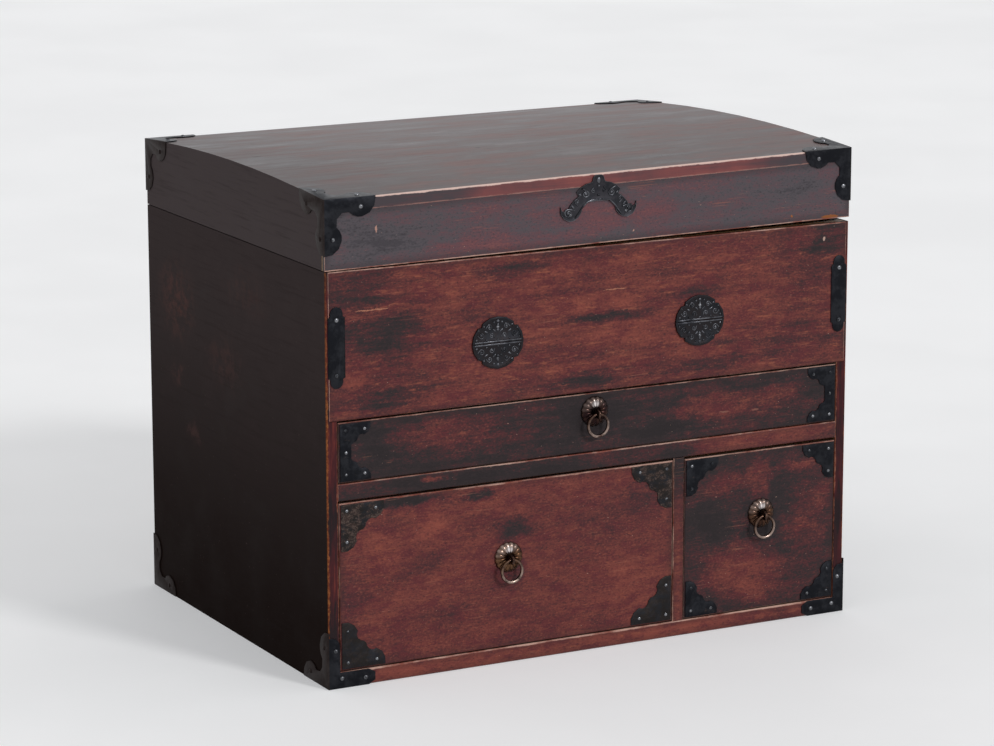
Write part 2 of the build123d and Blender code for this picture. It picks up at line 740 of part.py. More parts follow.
def build():
    parts = {}

    # Case boards
    left = side_board_left()
    bottom = tongued_shelf((0, BOTTOM_BOARD))
    bottom -= divider_housing((BOTTOM_BOARD - TONGUE_SHOULDER, BOTTOM_BOARD))
    shelf = tongued_shelf((SHELF_BOTTOM, SHELF_TOP))
    shelf -= divider_housing((SHELF_BOTTOM, SHELF_BOTTOM + TONGUE_SHOULDER))
    parts |= {
        "side_board_left": left,
        "side_board_right": mirror(left, about=Plane.YZ),
        "back_board": back_board(),
        "bottom_board": bottom,
        "middle_shelf": shelf,
        "drawer_divider": drawer_divider(),
        "compartment_floor": compartment_floor(),
        "upper_front_board": upper_front_board(),
    }

    # Iron on the case, with the nails that hold it
    iron = {}
    iron["base_corner_caps"] = four_corners([base_cap()])
    driven = four_corners(base_cap_nails())
    plate_face = Plane((0, FRONT_Y - PLATE, 0), x_dir=(1, 0, 0), z_dir=(0, -1, 0))
    iron["front_straps"] = [front_strap(x) for x in (-STRAP_X, STRAP_X)]
    for x in (-STRAP_X, STRAP_X):
        driven += nails(plate_face, [(x, STRAP_Z - STRAP_NAIL), (x, STRAP_Z + STRAP_NAIL)], PLATE)
    iron["medallions"] = [medallion_half(x, side) for x in MEDALLION_X for side in (1, -1)]
    for x in MEDALLION_X:
        spots = [(x, MEDALLION_Z - MEDALLION_NAIL), (x, MEDALLION_Z + MEDALLION_NAIL)]
        driven += nails(plate_face, spots, PLATE, SMALL_NAIL)
    leaf = body_hinge_leaf()
    leaves = []
    for x in (-HINGE_X, HINGE_X):
        leaves.append(Pos(x, 0, 0) * leaf)
        driven += [Pos(x, 0, 0) * nail for nail in leaf_nails(-1)]
    iron["body_hinge_leaves"] = leaves
    fixings = group(driven)
    for name, plates in iron.items():
        parts[name] = group([plate - fixings for plate in plates])
    parts["carcass_nails"] = fixings
    parts["hinge_pins"] = group([Pos(x, 0, 0) * hinge_pin() for x in (-HINGE_X, HINGE_X)])

    # Lid
    parts |= {
        "lid_top_board": lid_top_board(),
        "lid_front_rail": lid_rail(-1),
        "lid_back_rail": lid_rail(1),
        "lid_end_left": lid_end(-1),
        "lid_end_right": lid_end(1),
    }
    lid = {"lid_ornament": [lid_ornament()]}
    corners = [(x_side, y_side) for x_side in (-1, 1) for y_side in (-1, 1)]
    lid["lid_corner_caps"] = [lid_cap(*corner) for corner in corners]
    driven = [nail for corner in corners for nail in lid_cap_nails(*corner)]
    ornament_face = Plane(
        (ORNAMENT_X, FRONT_Y - ORNAMENT_PLATE, ORNAMENT_Z), x_dir=(1, 0, 0), z_dir=(0, -1, 0)
    )
    driven += nails(ornament_face, ORNAMENT_NAILS, ORNAMENT_PLATE, SMALL_NAIL)
    leaf = lid_hinge_leaf()
    leaves = []
    for x in (-HINGE_X, HINGE_X):
        leaves.append(Pos(x, 0, 0) * leaf)
        driven += [Pos(x, 0, 0) * nail for nail in leaf_nails(1)]
    lid["lid_hinge_leaves"] = leaves
    fixings = group(driven)
    for name, plates in lid.items():
        parts[name] = group([plate - fixings for plate in plates])
    parts["lid_nails"] = fixings

    # Drawers: opening limits in X and Z, gap over the front, pull centre, plate size
    openings = {
        "long_drawer": ((-INNER_X, INNER_X), (SHELF_TOP, COMPARTMENT_BOTTOM), 1.0, (-1.0, 158.0), 21.0),
        "left_drawer": ((-INNER_X, DIVIDER_LEFT), (BOTTOM_BOARD, SHELF_BOTTOM), 1.2, (-63.4, 69.8), 30.0),
        "right_drawer": ((DIVIDER_RIGHT, INNER_X), (BOTTOM_BOARD, SHELF_BOTTOM), 1.6, (125.0, 75.6), 24.0),
    }
    for name, (x, z, top_gap, pull, arm) in openings.items():
        pieces = drawer(x, z, top_gap, pull, arm, name == "long_drawer")
        for piece, shape in pieces.items():
            parts[name + "_" + piece] = shape
    return parts


os.makedirs("parts", exist_ok=True)
for node, shape in build().items():
    export_step(shape, "parts/" + node + ".step")
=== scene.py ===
from functools import partial
from math import atan2, cos, degrees, pi, radians, sin

import bpy
from mathutils import Euler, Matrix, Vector


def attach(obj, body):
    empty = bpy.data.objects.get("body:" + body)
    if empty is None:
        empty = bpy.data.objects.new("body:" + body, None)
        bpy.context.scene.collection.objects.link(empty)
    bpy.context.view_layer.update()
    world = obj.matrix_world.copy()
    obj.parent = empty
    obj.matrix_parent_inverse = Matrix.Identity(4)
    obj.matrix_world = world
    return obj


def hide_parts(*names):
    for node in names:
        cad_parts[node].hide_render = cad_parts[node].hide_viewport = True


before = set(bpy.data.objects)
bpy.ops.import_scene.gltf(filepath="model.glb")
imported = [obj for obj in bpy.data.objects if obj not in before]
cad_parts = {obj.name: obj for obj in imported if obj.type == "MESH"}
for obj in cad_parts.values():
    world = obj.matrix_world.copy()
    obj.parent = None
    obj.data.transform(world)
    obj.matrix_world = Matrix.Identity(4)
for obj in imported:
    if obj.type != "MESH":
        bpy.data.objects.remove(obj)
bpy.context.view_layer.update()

bl_info = {
    "name": "Tabletop Drawer Chest",
    "version": (1, 0, 0),
    "blender": (4, 5, 0),
    "location": "View3D > Sidebar > Chest",
    "description": "Finishes and fittings of a small lacquered chest with drawers and an arched lid",
    "category": "Object",
}

MM = 0.001

# Lengths and places on the chest, in millimetres; places on its front are (x, z).
FRONT_Y = -139.0
HALF_W = 190.0
HALF_INSIDE = 183.0
HALF_D = 139.0
LID_CORNER_HEIGHT = 309.4
LID_CROWN = 5.5
LID_TWIST = 4.0
LID_BOARD = 7.5
PULLS = {"long_drawer": (-1.0, 158.0), "left_drawer": (-63.4, 69.8), "right_drawer": (125.0, 75.6)}
EYE_STANDOFF = 5.2
EYE_DROP = 1.0
MEDALLIONS = (-71.0, 76.4)
MEDALLION_Z = 209.9
ORNAMENT = (1.0, 282.1)
NAIL_WIDTH = 2.8

# How far the patina of each pull has gone towards black.
PATINA = {"long_drawer": 0.85, "left_drawer": 0.1, "right_drawer": 0.55}

# A rosette from its rim to its middle: shares of its radius and of its rise.
ROSETTE_PROFILE = (
    (1.0, 0.15), (0.975, 0.34), (0.93, 0.56), (0.86, 0.76), (0.77, 0.9), (0.66, 0.98),
    (0.55, 1.0), (0.44, 0.97), (0.34, 0.88), (0.26, 0.7), (0.2, 0.56), (0.1, 0.5),
)

# The worn boards of the front: what worn_lacquer is told about each.
WORN_BOARDS = {
    "upper_front_board": dict(
        name="worn_red_lacquer_upper_front",
        low=(-188, 171),
        high=(188, 265),
        grime=0.36,
        zones=(
            (-154, 222, 46, 22, 0.36), (-137, 232, 16, 12, 0.14), (-170, 250, 44, 22, 0.2),
            (-160, 180, 56, 12, 0.22), (-62, 254, 46, 7, 0.3), (12, 218, 42, 6, 0.4),
            (-10, 179, 80, 9, 0.34), (86, 181, 70, 9, 0.3), (-120, 236, 80, 34, 0.12),
            (-138, 190, 56, 17, 0.24), (76, 228, 34, 10, 0.28), (155, 240, 50, 40, 0.14),
            (150, 190, 60, 20, 0.16), (176, 256, 30, 20, 0.22), (-84, 244, 66, 18, -0.2),
            (-96, 198, 40, 10, -0.2), (-170, 195, 22, 6, -0.34), (0, 228, 60, 8, -0.28),
            (20, 206, 44, 12, -0.24), (116, 214, 40, 12, -0.16),
        ),
        chips=(
            (-158, 239, 12, 0.4, "#a8715a"), (14, 236, 9, 0.35, "#a8715a"), (171, 255, 0.9, 1.6, "#b99a8e"),
        ),
        rims=(0.25, 0.2, 0.25, 0.7),
        seed=1.3,
    ),
    "middle_shelf": dict(
        name="worn_lacquer_middle_rail",
        low=(-182.5, 120),
        high=(182.5, 131.2),
        grime=0.56,
        zones=(
            (-80, 124, 150, 12, 0.32), (60, 118, 26, 20, 0.3), (125, 126, 70, 16, -0.36),
            (-118, 127, 14, 3, -0.5),
        ),
        rims=(0.2, 0.2, 0.2, 0.8),
        streak=0.6,
        seed=4.1,
    ),
    "drawer_divider": dict(
        name="worn_lacquer_divider",
        low=(58.3, 8),
        high=(66.5, 122),
        grime=0.36,
        zones=((62, 116, 20, 34, 0.6), (62, 40, 20, 50, -0.14)),
        rims=(0.5, 0.3, 0.1, 0.1),
        streak=0.5,
        seed=6.6,
    ),
    "bottom_board": dict(
        name="worn_red_lacquer_bottom_rail",
        low=(-182.5, 0),
        high=(182.5, 10.4),
        grime=0.12,
        zones=((-40, 4, 60, 8, 0.16), (40, 6, 60, 6, -0.1), (150, 4, 30, 10, 0.3)),
        rims=(0.2, 0.2, 0.3, 1.1),
        streak=0.8,
        seed=8.2,
    ),
    "lid_front_rail": dict(
        name="worn_lacquer_lid_rail",
        low=(-190, 265.8),
        high=(190, 302),
        grime=0.68,
        zones=(
            (-160, 284, 66, 30, 0.14), (140, 286, 90, 30, 0.1), (10, 284, 80, 16, -0.3),
            (-92, 274, 50, 7, -0.26), (-60, 270, 50, 6, -0.24),
        ),
        chips=(
            (-155, 289, 0.8, 2.4, "#b3897c"), (27, 273, 0.8, 0.6, "#b3897c"),
            (175, 269.4, 7, 1.2, "#a2602f"), (146, 272, 0.7, 1.0, "#a2602f"),
        ),
        rims=(0.1, 0.1, 0.4, 0.2),
        rise=(2.4, 4.0),
        streak=0.7,
        seed=2.4,
        # Greyer and paler than the front's lacquer: its own colours under a painted sheen.
        palette_with_sheen=("#80504f", "#6a454a", "#5d484e", "#534e53", "#444045"),
    ),
    "long_drawer_front": dict(
        name="worn_lacquer_long_drawer",
        low=(-182.1, 131.7),
        high=(182.1, 170),
        grime=0.77,
        zones=(
            (-108, 156, 56, 15, -0.34), (-66, 148, 34, 8, -0.16), (96, 151, 62, 13, -0.36),
            (136, 156, 34, 10, -0.24), (-1, 158, 34, 26, 0.24), (-160, 150, 34, 30, 0.12),
            (52, 140, 40, 8, 0.2),
        ),
        chips=((96, 147, 4, 0.6, "#7d5248"), (120, 146, 3, 0.5, "#7d5248")),
        rims=(0.15, 0.15, 0.15, 0.5),
        streak=0.6,
        seed=3.7,
    ),
    "left_drawer_front": dict(
        name="worn_red_lacquer_left_drawer",
        low=(-182.1, 10.9),
        high=(57.9, 118.8),
        grime=0.36,
        zones=(
            (-122, 74, 22, 10, 0.22), (-62, 88, 20, 14, 0.4), (-62, 66, 22, 26, 0.14),
            (-138, 115, 40, 5, 0.7), (-84, 113, 14, 5, 0.55), (4, 84, 60, 24, 0.14),
            (30, 98, 26, 16, 0.18), (-172, 60, 16, 40, 0.18), (-118, 95, 24, 18, -0.3),
            (-150, 84, 26, 20, -0.14), (30, 40, 40, 30, -0.16), (-100, 36, 60, 14, 0.14),
        ),
        rims=(0.3, 0.4, 0.15, 0.9),
        streak=0.3,
        seed=5.2,
    ),
    "right_drawer_front": dict(
        name="worn_lacquer_right_drawer",
        low=(66.9, 10.9),
        high=(182.1, 118.4),
        grime=0.74,
        zones=(
            (112, 38, 44, 28, -0.44), (124, 24, 30, 12, -0.2), (98, 100, 26, 14, -0.26),
            (124, 98, 14, 20, -0.28), (152, 104, 20, 6, -0.28), (162, 70, 26, 46, -0.22),
            (88, 72, 26, 24, 0.2), (125, 68, 18, 22, 0.24),
        ),
        rims=(0.15, 0.15, 0.3, 0.7),
        streak=0.35,
        seed=7.9,
    ),
}


# ---------------------------------------------------------------- small helpers

# A node's mode, as in "Math ABSOLUTE", is kept in one of these settings.
MODES = {"Math": "operation", "VectorMath": "operation", "MapRange": "interpolation_type", "Mix": "data_type"}
PLUS = "Math ADD"
TIMES = "Math MULTIPLY"
RAMP = "MapRange SMOOTHSTEP"
MIX = "Mix RGBA"


def linear(colour):
    """An sRGB hex colour as linear RGBA; a colour that isn't hex is linear already."""
    if not isinstance(colour, str):
        return colour
    channels = [int(colour[start : start + 2], 16) / 255 for start in (1, 3, 5)]
    curve = [c / 12.92 if c <= 0.04045 else ((c + 0.055) / 1.055) ** 2.4 for c in channels]
    return (*curve, 1.0)


def millimetres(values):
    return tuple(value * MM for value in values)


def add_node(tree, kind, *values, sockets=None, output=None, stops=(), **settings):
    """Adds a node with its settings and links, and returns one of its outputs.

    kind is its type, with its mode after a space. values go to its sockets in order, sockets by
    name, each to be linked, where it is another node's output, or set; stops are a colour ramp's.
    """
    kind, _, chosen = kind.partition(" ")
    made = tree.nodes.new("ShaderNode" + kind)
    if chosen:
        settings[MODES[kind]] = chosen
    for name, value in settings.items():
        setattr(made, name, value)
    pairs = list(zip([socket for socket in made.inputs if socket.enabled], values))
    pairs += [(made.inputs[name], value) for name, value in (sockets or {}).items()]
    for socket, value in pairs:
        if isinstance(value, bpy.types.NodeSocket):
            tree.links.new(value, socket)
        else:
            socket.default_value = linear(value)
    if stops:
        elements = made.color_ramp.elements
        for element, (position, colour) in zip(elements, (stops[0], stops[-1])):
            element.position, element.color = position, linear(colour)
        for position, colour in stops[1:-1]:
            elements.new(position).color = linear(colour)
    if output:
        return made.outputs[output]
    return next((socket for socket in made.outputs if socket.enabled), None)


def fold(add, kind, first, *others):
    """The same node over one value after another."""
    for value in others:
        first = add(kind, first, value)
    return first


def new_material(name):
    """A node material: itself, the function that adds a node to it, and the place on the object."""
    material = bpy.data.materials.new(name)
    material.use_nodes = True
    material.node_tree.nodes.clear()
    add = partial(add_node, material.node_tree)
    return material, add, add("TexCoord", output="Object")


def finish_material(add, colour, roughness, relief=None, **sockets):
    """The shader and the output; relief is a height of 0 to 1, its strength and depth in millimetres."""
    named = {name.replace("_", " "): value for name, value in sockets.items()}
    named.update({"Base Color": colour, "Roughness": roughness})
    if relief is not None:
        height, strength, depth = relief
        bump = {"Height": height, "Strength": strength, "Distance": depth * MM}
        named["Normal"] = add("Bump", sockets=bump)
    add("OutputMaterial", add("BsdfPrincipled", sockets=named))


def coat(add, under, over, pattern, low, high, *shares):
    """A colour laid over another where a pattern runs from low to high, thinned by the shares."""
    shown = fold(add, TIMES, add(RAMP, pattern, low, high), *shares)
    return add(MIX, shown, under, over)


def clouds(add, place, sizes, detail, roughness, seed, turn=0.0):
    """Noise whose features are about as large as the three sizes, in millimetres, turned on the front."""
    start, slant = (seed, seed * 0.7, seed * 1.3), (0.0, radians(turn), 0.0)
    scaled = add("Mapping", place, start, slant, tuple(1 / (size * MM) for size in sizes))
    return add("TexNoise", scaled, 1.0, detail, roughness)


def swing(add, value, reach):
    """Noise brought round zero and multiplied by the reach."""
    return add("Math MULTIPLY_ADD", value, reach, -reach / 2)


def wander(add, place, size, reach):
    """The place moved about by noise, so that a patch laid there gets a ragged outline."""
    noise = add("TexNoise", place, 1 / (size * MM), 5.0, 0.7, output="Color")
    away = add("VectorMath SUBTRACT", noise, (0.5, 0.5, 0.5))
    return add("VectorMath ADD", place, add("VectorMath MULTIPLY", away, millimetres(reach)))


def patch(add, place, centre, reach):
    """1 at the middle of an ellipse, 0 at its rim, in millimetres; a reach of 0 leaves an axis out."""
    scale = tuple(1 / (size * MM) if size else 0.0 for size in reach)
    away = add("VectorMath SUBTRACT", place, millimetres(centre))
    return add(RAMP, add("VectorMath LENGTH", add("VectorMath MULTIPLY", away, scale)), 1.0, 0.15)


def front_patch(add, place, x, z, half_width, half_height):
    return patch(add, place, (x, 0, z), (half_width, 0, half_height))


def nearest_rim(add, place, low, high, widths, rise):
    """How far a point of the front lies from the nearest edge of a board, in widths of that edge.

    The widths are for the left, right, bottom and top edge; rise is how much higher the bottom and
    top edge lie at their right end. All in millimetres.
    """
    left, right, bottom, top = [width * MM for width in widths]
    span = (high[0] - low[0]) * MM
    lean = [rise[0] * MM / span, rise[1] * MM / span]
    start = low[0] * MM
    nearest = None
    for along, offset in (
        ((1 / left, 0, 0), -start / left),
        ((-1 / right, 0, 0), high[0] * MM / right),
        ((-lean[0] / bottom, 0, 1 / bottom), (lean[0] * start - low[1] * MM) / bottom),
        ((lean[1] / top, 0, -1 / top), (high[1] * MM - lean[1] * start) / top),
    ):
        away = add(PLUS, add("VectorMath DOT_PRODUCT", place, along), offset)
        nearest = away if nearest is None else add("Math MINIMUM", nearest, away)
    return nearest


def seen_rays(add):
    """1 where the stage is looked at straight or in a reflection, 0 where it lights the chest."""
    rays = add("LightPath").node.outputs
    return fold(add, "Math MAXIMUM", *[rays[f"Is {kind} Ray"] for kind in ("Camera", "Glossy", "Transmission")])


# ---------------------------------------------------------------- materials


def worn_lacquer(
    name,
    colours,
    low,
    high,
    grime,
    zones,
    rims,
    seed,
    chips=(),
    rise=(0.0, 0.0),
    streak=1.0,
    lacquered=2.5,
    palette_with_sheen=None,
):
    """Brushed red-brown lacquer under a dark coat, rubbed through by a century of hands.

    The eye gets red streaks with flaky outlines along the board, dark patches where the top coat and
    its grime stayed, purple where it is thin, a few pale scratches and nicks, and a thin ragged line
    of bared orange wood along each arris; the faces behind the front, in the gaps, get a near-black
    painted shadow. low and high are the board's corners on the front face, rims how wide its four
    arrises are bared and rise how far its lower and upper edge climb to the right; grime is how much
    of the dark coat is left, each zone (x, z, half width, half height, more or less of it), each chip
    a spot of bare wood; streak is how strongly the brush shows. A palette_with_sheen stands in for
    the lacquer's own colours with greyer, paler ones: the own colours under a painted sheen. Deeper
    than lacquered the wood is left plain.
    """
    material, add, place = new_material(name)
    ragged = wander(add, place, 15, (34, 0, 13))
    brushed = clouds(add, place, (50, 40, 4.6), 7.0, 0.68, seed)
    blotches = clouds(add, ragged, (26, 26, 14), 5.0, 0.62, seed + 3.1)
    flakes = clouds(add, place, (4.2, 4.2, 1.5), 4.0, 0.65, seed + 5.7)
    fine = clouds(add, place, (1.8, 1.8, 1.1), 2.0, 0.6, seed + 9.2)

    dark = fold(add, PLUS, grime, swing(add, brushed, 1.15 * streak), swing(add, blotches, 0.8))
    for *spot, amount in zones:
        dark = add(PLUS, dark, add(TIMES, front_patch(add, ragged, *spot), amount))
    dark = fold(add, PLUS, dark, swing(add, flakes, 0.6), swing(add, fine, 0.5))
    # A palette with sheen carries a painted sheen; without one the lacquer keeps its own colours.
    coats = palette_with_sheen or (
        colours.rubbed_red, colours.red_lacquer, colours.plum_lacquer, colours.dark_lacquer, "#262022"
    )
    colour = add("ValToRGB", dark, stops=list(zip((0.0, 0.36, 0.6, 0.82, 1.0), coats)))

    reddish = add(RAMP, dark, 0.72, 0.4)
    if not palette_with_sheen:
        crimson = clouds(add, place, (18, 18, 9), 6.0, 0.72, seed + 33.0)
        colour = coat(add, colour, "#55222b", crimson, 0.46, 0.6, reddish, 0.65)
        tan = clouds(add, place, (14, 14, 2.4), 4.0, 0.7, seed + 37.0, 7.0)
        colour = coat(add, colour, "#9c5b45", tan, 0.54, 0.68, reddish, 0.55 * streak)
    pits = add(RAMP, fine, 0.56, 0.7)
    colour = add(MIX, add(TIMES, pits, 0.38), colour, "#2a1c1e")
    colour = coat(add, colour, "#96604f", fine, 0.42, 0.3, reddish, 0.25)
    hairs = [
        add(RAMP, clouds(add, place, (30, 30, 0.5), 1.0, 0.5, seed + offset, turn), 0.7, 0.76)
        for turn, offset in ((2.0, 12.4), (-24.0, 17.1), (38.0, 21.9))
    ]
    scratched = fold(add, TIMES, fold(add, "Math MAXIMUM", *hairs), add(RAMP, blotches, 0.5, 0.36), 0.5)
    colour = add(MIX, scratched, colour, "#a8705a")
    nicks = clouds(add, place, (1.5, 1.5, 1.1), 1.0, 0.5, seed + 27.0)
    colour = coat(add, colour, "#b3907f", nicks, 0.76, 0.8, 0.75)
    dashes = clouds(add, place, (4.5, 4.5, 0.7), 2.0, 0.5, seed + 31.0)
    colour = coat(add, colour, "#a8603f", dashes, 0.66, 0.75, add(RAMP, dark, 0.55, 0.25), 0.5)
    torn = wander(add, place, 3, (4, 0, 3))
    for x, z, half_width, half_height, wood in chips:
        spot = front_patch(add, torn, x, z, half_width * 1.6, half_height * 1.6)
        colour = coat(add, colour, wood, spot, 0.35, 0.6)

    soiled = nearest_rim(add, place, low, high, (6, 6, 6, 6), rise)
    colour = coat(add, colour, "#2c2122", soiled, 1.0, 0.1, 0.35)
    nibble = clouds(add, place, (26, 26, 7), 7.0, 0.78, seed + 1.9)
    bareness = add(PLUS, nearest_rim(add, place, low, high, rims, rise), swing(add, nibble, -3.2))
    worn = add(PLUS, clouds(add, place, (34, 34, 30), 4.0, 0.65, seed + 41.0), swing(add, flakes, 0.25))
    bared = coat(add, colours.bare_edge, "#cfa898", worn, 0.36, 0.6)
    colour = coat(add, colour, bared, bareness, 1.3, 0.6, 0.8)
    depth = add("SeparateXYZ", place).node.outputs["Y"]
    # Painted shadow: the faces just behind the front, seen through the gaps between boards, turn near-black.
    colour = coat(add, colour, "#15100f", depth, (FRONT_Y + 0.35) * MM, (FRONT_Y + 0.8) * MM, 0.9)
    rings = clouds(add, place, (90, 120, 2.2), 4.0, 0.6, seed + 4.4)
    wood = coat(add, colours.inner_wood, "#8a6844", rings, 0.35, 0.7)
    inner = FRONT_Y + lacquered
    colour = coat(add, colour, wood, depth, inner * MM, (inner + 1.5) * MM)

    height = fold(add, PLUS, add(TIMES, brushed, 0.7), add(TIMES, flakes, 0.5), add(TIMES, pits, -0.4))
    roughness = add("MapRange", blotches, 0.3, 0.7, 0.5, 0.38)
    finish_material(add, colour, roughness, (height, 0.5, 0.22), IOR=1.5, Specular_IOR_Level=0.18)
    return material


def side_lacquer(name, colours, light=0.0):
    """Near-black lacquer on the sides: almost even, faintly clouded, a few reddish rubbed places.

    It is darker towards the floor and paler in clouds towards the top: painted shade below and a
    painted sheen above; light lays a paler copy over all of it, a painted sheen. The board's front
    edge carries the plum and red of the front with a torn orange arris outside; the faces towards
    the drawers are plain wood.
    """
    material, add, place = new_material(name)
    x, y, z = add("SeparateXYZ", place).node.outputs
    out = add("Math ABSOLUTE", x)
    ragged = wander(add, place, 14, (0, 26, 26))
    cloudy = clouds(add, place, (50, 40, 34), 5.0, 0.65, 2.0)
    grain = clouds(add, place, (8, 46, 2.4), 5.0, 0.62, 6.0)
    fine = clouds(add, place, (2, 2, 2), 3.0, 0.6, 1.0)
    # Painted shade towards the floor and painted sheen in paler clouds towards the top.
    base = coat(add, "#180e0b", colours.side_lacquer, z, 10 * MM, 270 * MM)
    base = coat(add, base, "#463d3d", cloudy, 0.42, 0.66, add(RAMP, z, 40 * MM, 250 * MM), 0.3)
    # light lays a paler colour over all of the lacquer: a painted sheen, used on the lid's ends.
    base = add(MIX, light, base, "#544c4d")
    base = coat(add, base, "#1f1716", grain, 0.5, 0.7, 0.25)
    flaky = clouds(add, place, (9, 9, 9), 6.0, 0.75, 3.0)
    for across, up, half_width, half_height, share in (
        (92, 208, 40, 36, 0.75),
        (93, 158, 16, 12, 0.6),
        (14, 180, 40, 26, 0.35),
        (66, 122, 18, 12, 0.4),
        (-20, 232, 50, 20, 0.3),
    ):
        spot = patch(add, ragged, (0, across, up), (0, half_width, half_height))
        base = coat(add, base, "#563b37", flaky, 0.42, 0.62, spot, share)
    specks = clouds(add, place, (1.8, 1.8, 1.8), 1.0, 0.5, 14.0)
    base = coat(add, base, "#5b4b48", specks, 0.75, 0.8, 0.35)

    streaks = clouds(add, place, (2.4, 5, 40), 6.0, 0.66, 4.0)
    blotches = clouds(add, place, (12, 12, 30), 4.0, 0.6, 9.0)
    shown = fold(add, PLUS, swing(add, streaks, 1.6), swing(add, blotches, 1.2), 0.7)
    coats = ("#804234", colours.red_lacquer, colours.plum_lacquer, colours.dark_lacquer)
    edge = add("ValToRGB", shown, stops=list(zip((0.1, 0.35, 0.6, 0.9), coats)))
    front = add(RAMP, y, (FRONT_Y + 1.3) * MM, (FRONT_Y + 0.5) * MM)
    colour = add(MIX, front, base, edge)
    torn = clouds(add, place, (6, 6, 14), 5.0, 0.75, 8.0)
    orange = coat(add, "#7c4029", "#ab6a3c", fine, 0.4, 0.65)
    lower = add(PLUS, 0.35, add(TIMES, add(RAMP, z, 262 * MM, 150 * MM), 0.4))
    arris, lip = [add(PLUS, out, swing(add, torn, reach * MM)) for reach in (5, 4)]
    near_front = add(RAMP, y, (FRONT_Y + 1.4) * MM, (FRONT_Y + 0.7) * MM)
    colour = coat(add, colour, orange, arris, (HALF_W - 1.1) * MM, (HALF_W - 0.5) * MM, near_front, lower)
    pale = coat(add, "#9c5640", "#bb7f66", fine, 0.4, 0.6)
    colour = coat(add, colour, pale, lip, (HALF_INSIDE + 0.4) * MM, (HALF_INSIDE - 0.1) * MM, front, 0.55)
    rings = clouds(add, place, (3, 90, 3), 4.0, 0.6, 4.4)
    wood = coat(add, colours.inner_wood, "#84633f", rings, 0.35, 0.7)
    behind = add(RAMP, y, (FRONT_Y + 1.0) * MM, (FRONT_Y + 2.2) * MM)
    colour = coat(add, colour, wood, out, (HALF_INSIDE + 0.2) * MM, (HALF_INSIDE - 0.3) * MM, behind)

    height = add(PLUS, add(TIMES, grain, 0.7), add(TIMES, fine, 0.3))
    roughness = add("MapRange", cloudy, 0.3, 0.7, 0.42, 0.58)
    finish_material(add, colour, roughness, (height, 0.35, 0.2), IOR=1.5, Specular_IOR_Level=0.01)
    return material


def lid_top_lacquer(name, colours):
    """Rubbed brown lacquer on the lid: a satin sheen over fine grain, with dents and open pores.

    The board's front edge shows as a reddish band with a bright arris along its top, bare wood with
    a painted highlight on it, and a thin seam under it.
    """
    material, add, place = new_material(name)
    x, y, z = add("SeparateXYZ", place).node.outputs
    grain = clouds(add, place, (120, 3.2, 30), 6.0, 0.62, 1.0)
    rubbed = clouds(add, wander(add, place, 20, (40, 10, 0)), (55, 16, 30), 6.0, 0.66, 3.0)
    pores = clouds(add, place, (11, 0.9, 9), 3.0, 0.6, 5.0)
    base = coat(add, colours.lid_lacquer, "#55413d", grain, 0.38, 0.62)
    base = coat(add, base, "#6a4a45", rubbed, 0.44, 0.66)
    base = coat(add, base, "#241b1a", pores, 0.56, 0.68, 0.6)
    worn_end = add(PLUS, x, swing(add, rubbed, 120 * MM))
    base = coat(add, base, "#2b211f", worn_end, -70 * MM, -190 * MM, 0.55)
    torn = wander(add, place, 4, (3, 3, 0))
    dents = [
        patch(add, torn, (across, deep, 0), (size * 1.5, size, 0))
        for across, deep, size in (
            (-30, -35, 2.4),
            (55, -37, 1.8),
            (105, -17, 2.2),
            (150, -52, 1.6),
            (130, 18, 1.6),
            (-170, 3, 3.4),
            (-148, 60, 1.8),
            (20, 48, 1.6),
        )
    ]
    dented = fold(add, "Math MAXIMUM", *dents)
    base = add(MIX, add(TIMES, dented, 0.85), base, "#1a1311")

    line = add(PLUS, z, add(TIMES, x, -LID_TWIST / (2 * HALF_W)))
    top_edge = LID_CORNER_HEIGHT + LID_TWIST / 2
    streaks = clouds(add, place, (60, 20, 2.2), 5.0, 0.64, 7.0)
    blotches = clouds(add, place, (30, 20, 30), 5.0, 0.62, 9.0)
    middle = add(RAMP, add("Math ABSOLUTE", add(PLUS, x, -20 * MM)), 140 * MM, 80 * MM)
    redness = fold(
        add, PLUS, 0.84, swing(add, streaks, 0.8), swing(add, blotches, 0.8), add(TIMES, middle, -0.5)
    )
    reds = ("#8f4c45", "#743d3d", "#57363a", "#3f363b")
    band = add("ValToRGB", redness, stops=list(zip((0.0, 0.3, 0.55, 0.8), reds)))
    front = add(RAMP, y, (FRONT_Y + 1.4) * MM, (FRONT_Y + 0.7) * MM)
    colour = add(MIX, front, base, band)
    chipped = clouds(add, place, (14, 8, 4), 5.0, 0.75, 12.0)
    high = add(PLUS, line, swing(add, chipped, 2.2 * MM))
    arris = add(RAMP, y, (FRONT_Y + 2.2) * MM, (FRONT_Y + 1.3) * MM)
    # The arris along the top: bare wood under a near-white painted highlight.
    colour = coat(add, colour, "#e6c6bb", high, (top_edge - 1.0) * MM, (top_edge - 0.5) * MM, arris, 0.9)
    seam = (top_edge - LID_BOARD + 0.9) * MM, (top_edge - LID_BOARD + 0.3) * MM
    worn_away = add(RAMP, chipped, 0.4, 0.56)
    colour = coat(add, colour, "#a4776c", line, *seam, front, worn_away, 0.6)

    height = fold(add, PLUS, add(TIMES, grain, 0.5), add(TIMES, pores, 0.3), add(TIMES, dented, -1.0))
    gloss = add(PLUS, add("MapRange", rubbed, 0.3, 0.7, 0.3, 0.46), swing(add, grain, 0.25))
    finish_material(add, colour, gloss, (height, 0.3, 0.2), IOR=1.5, Specular_IOR_Level=0.36)
    return material


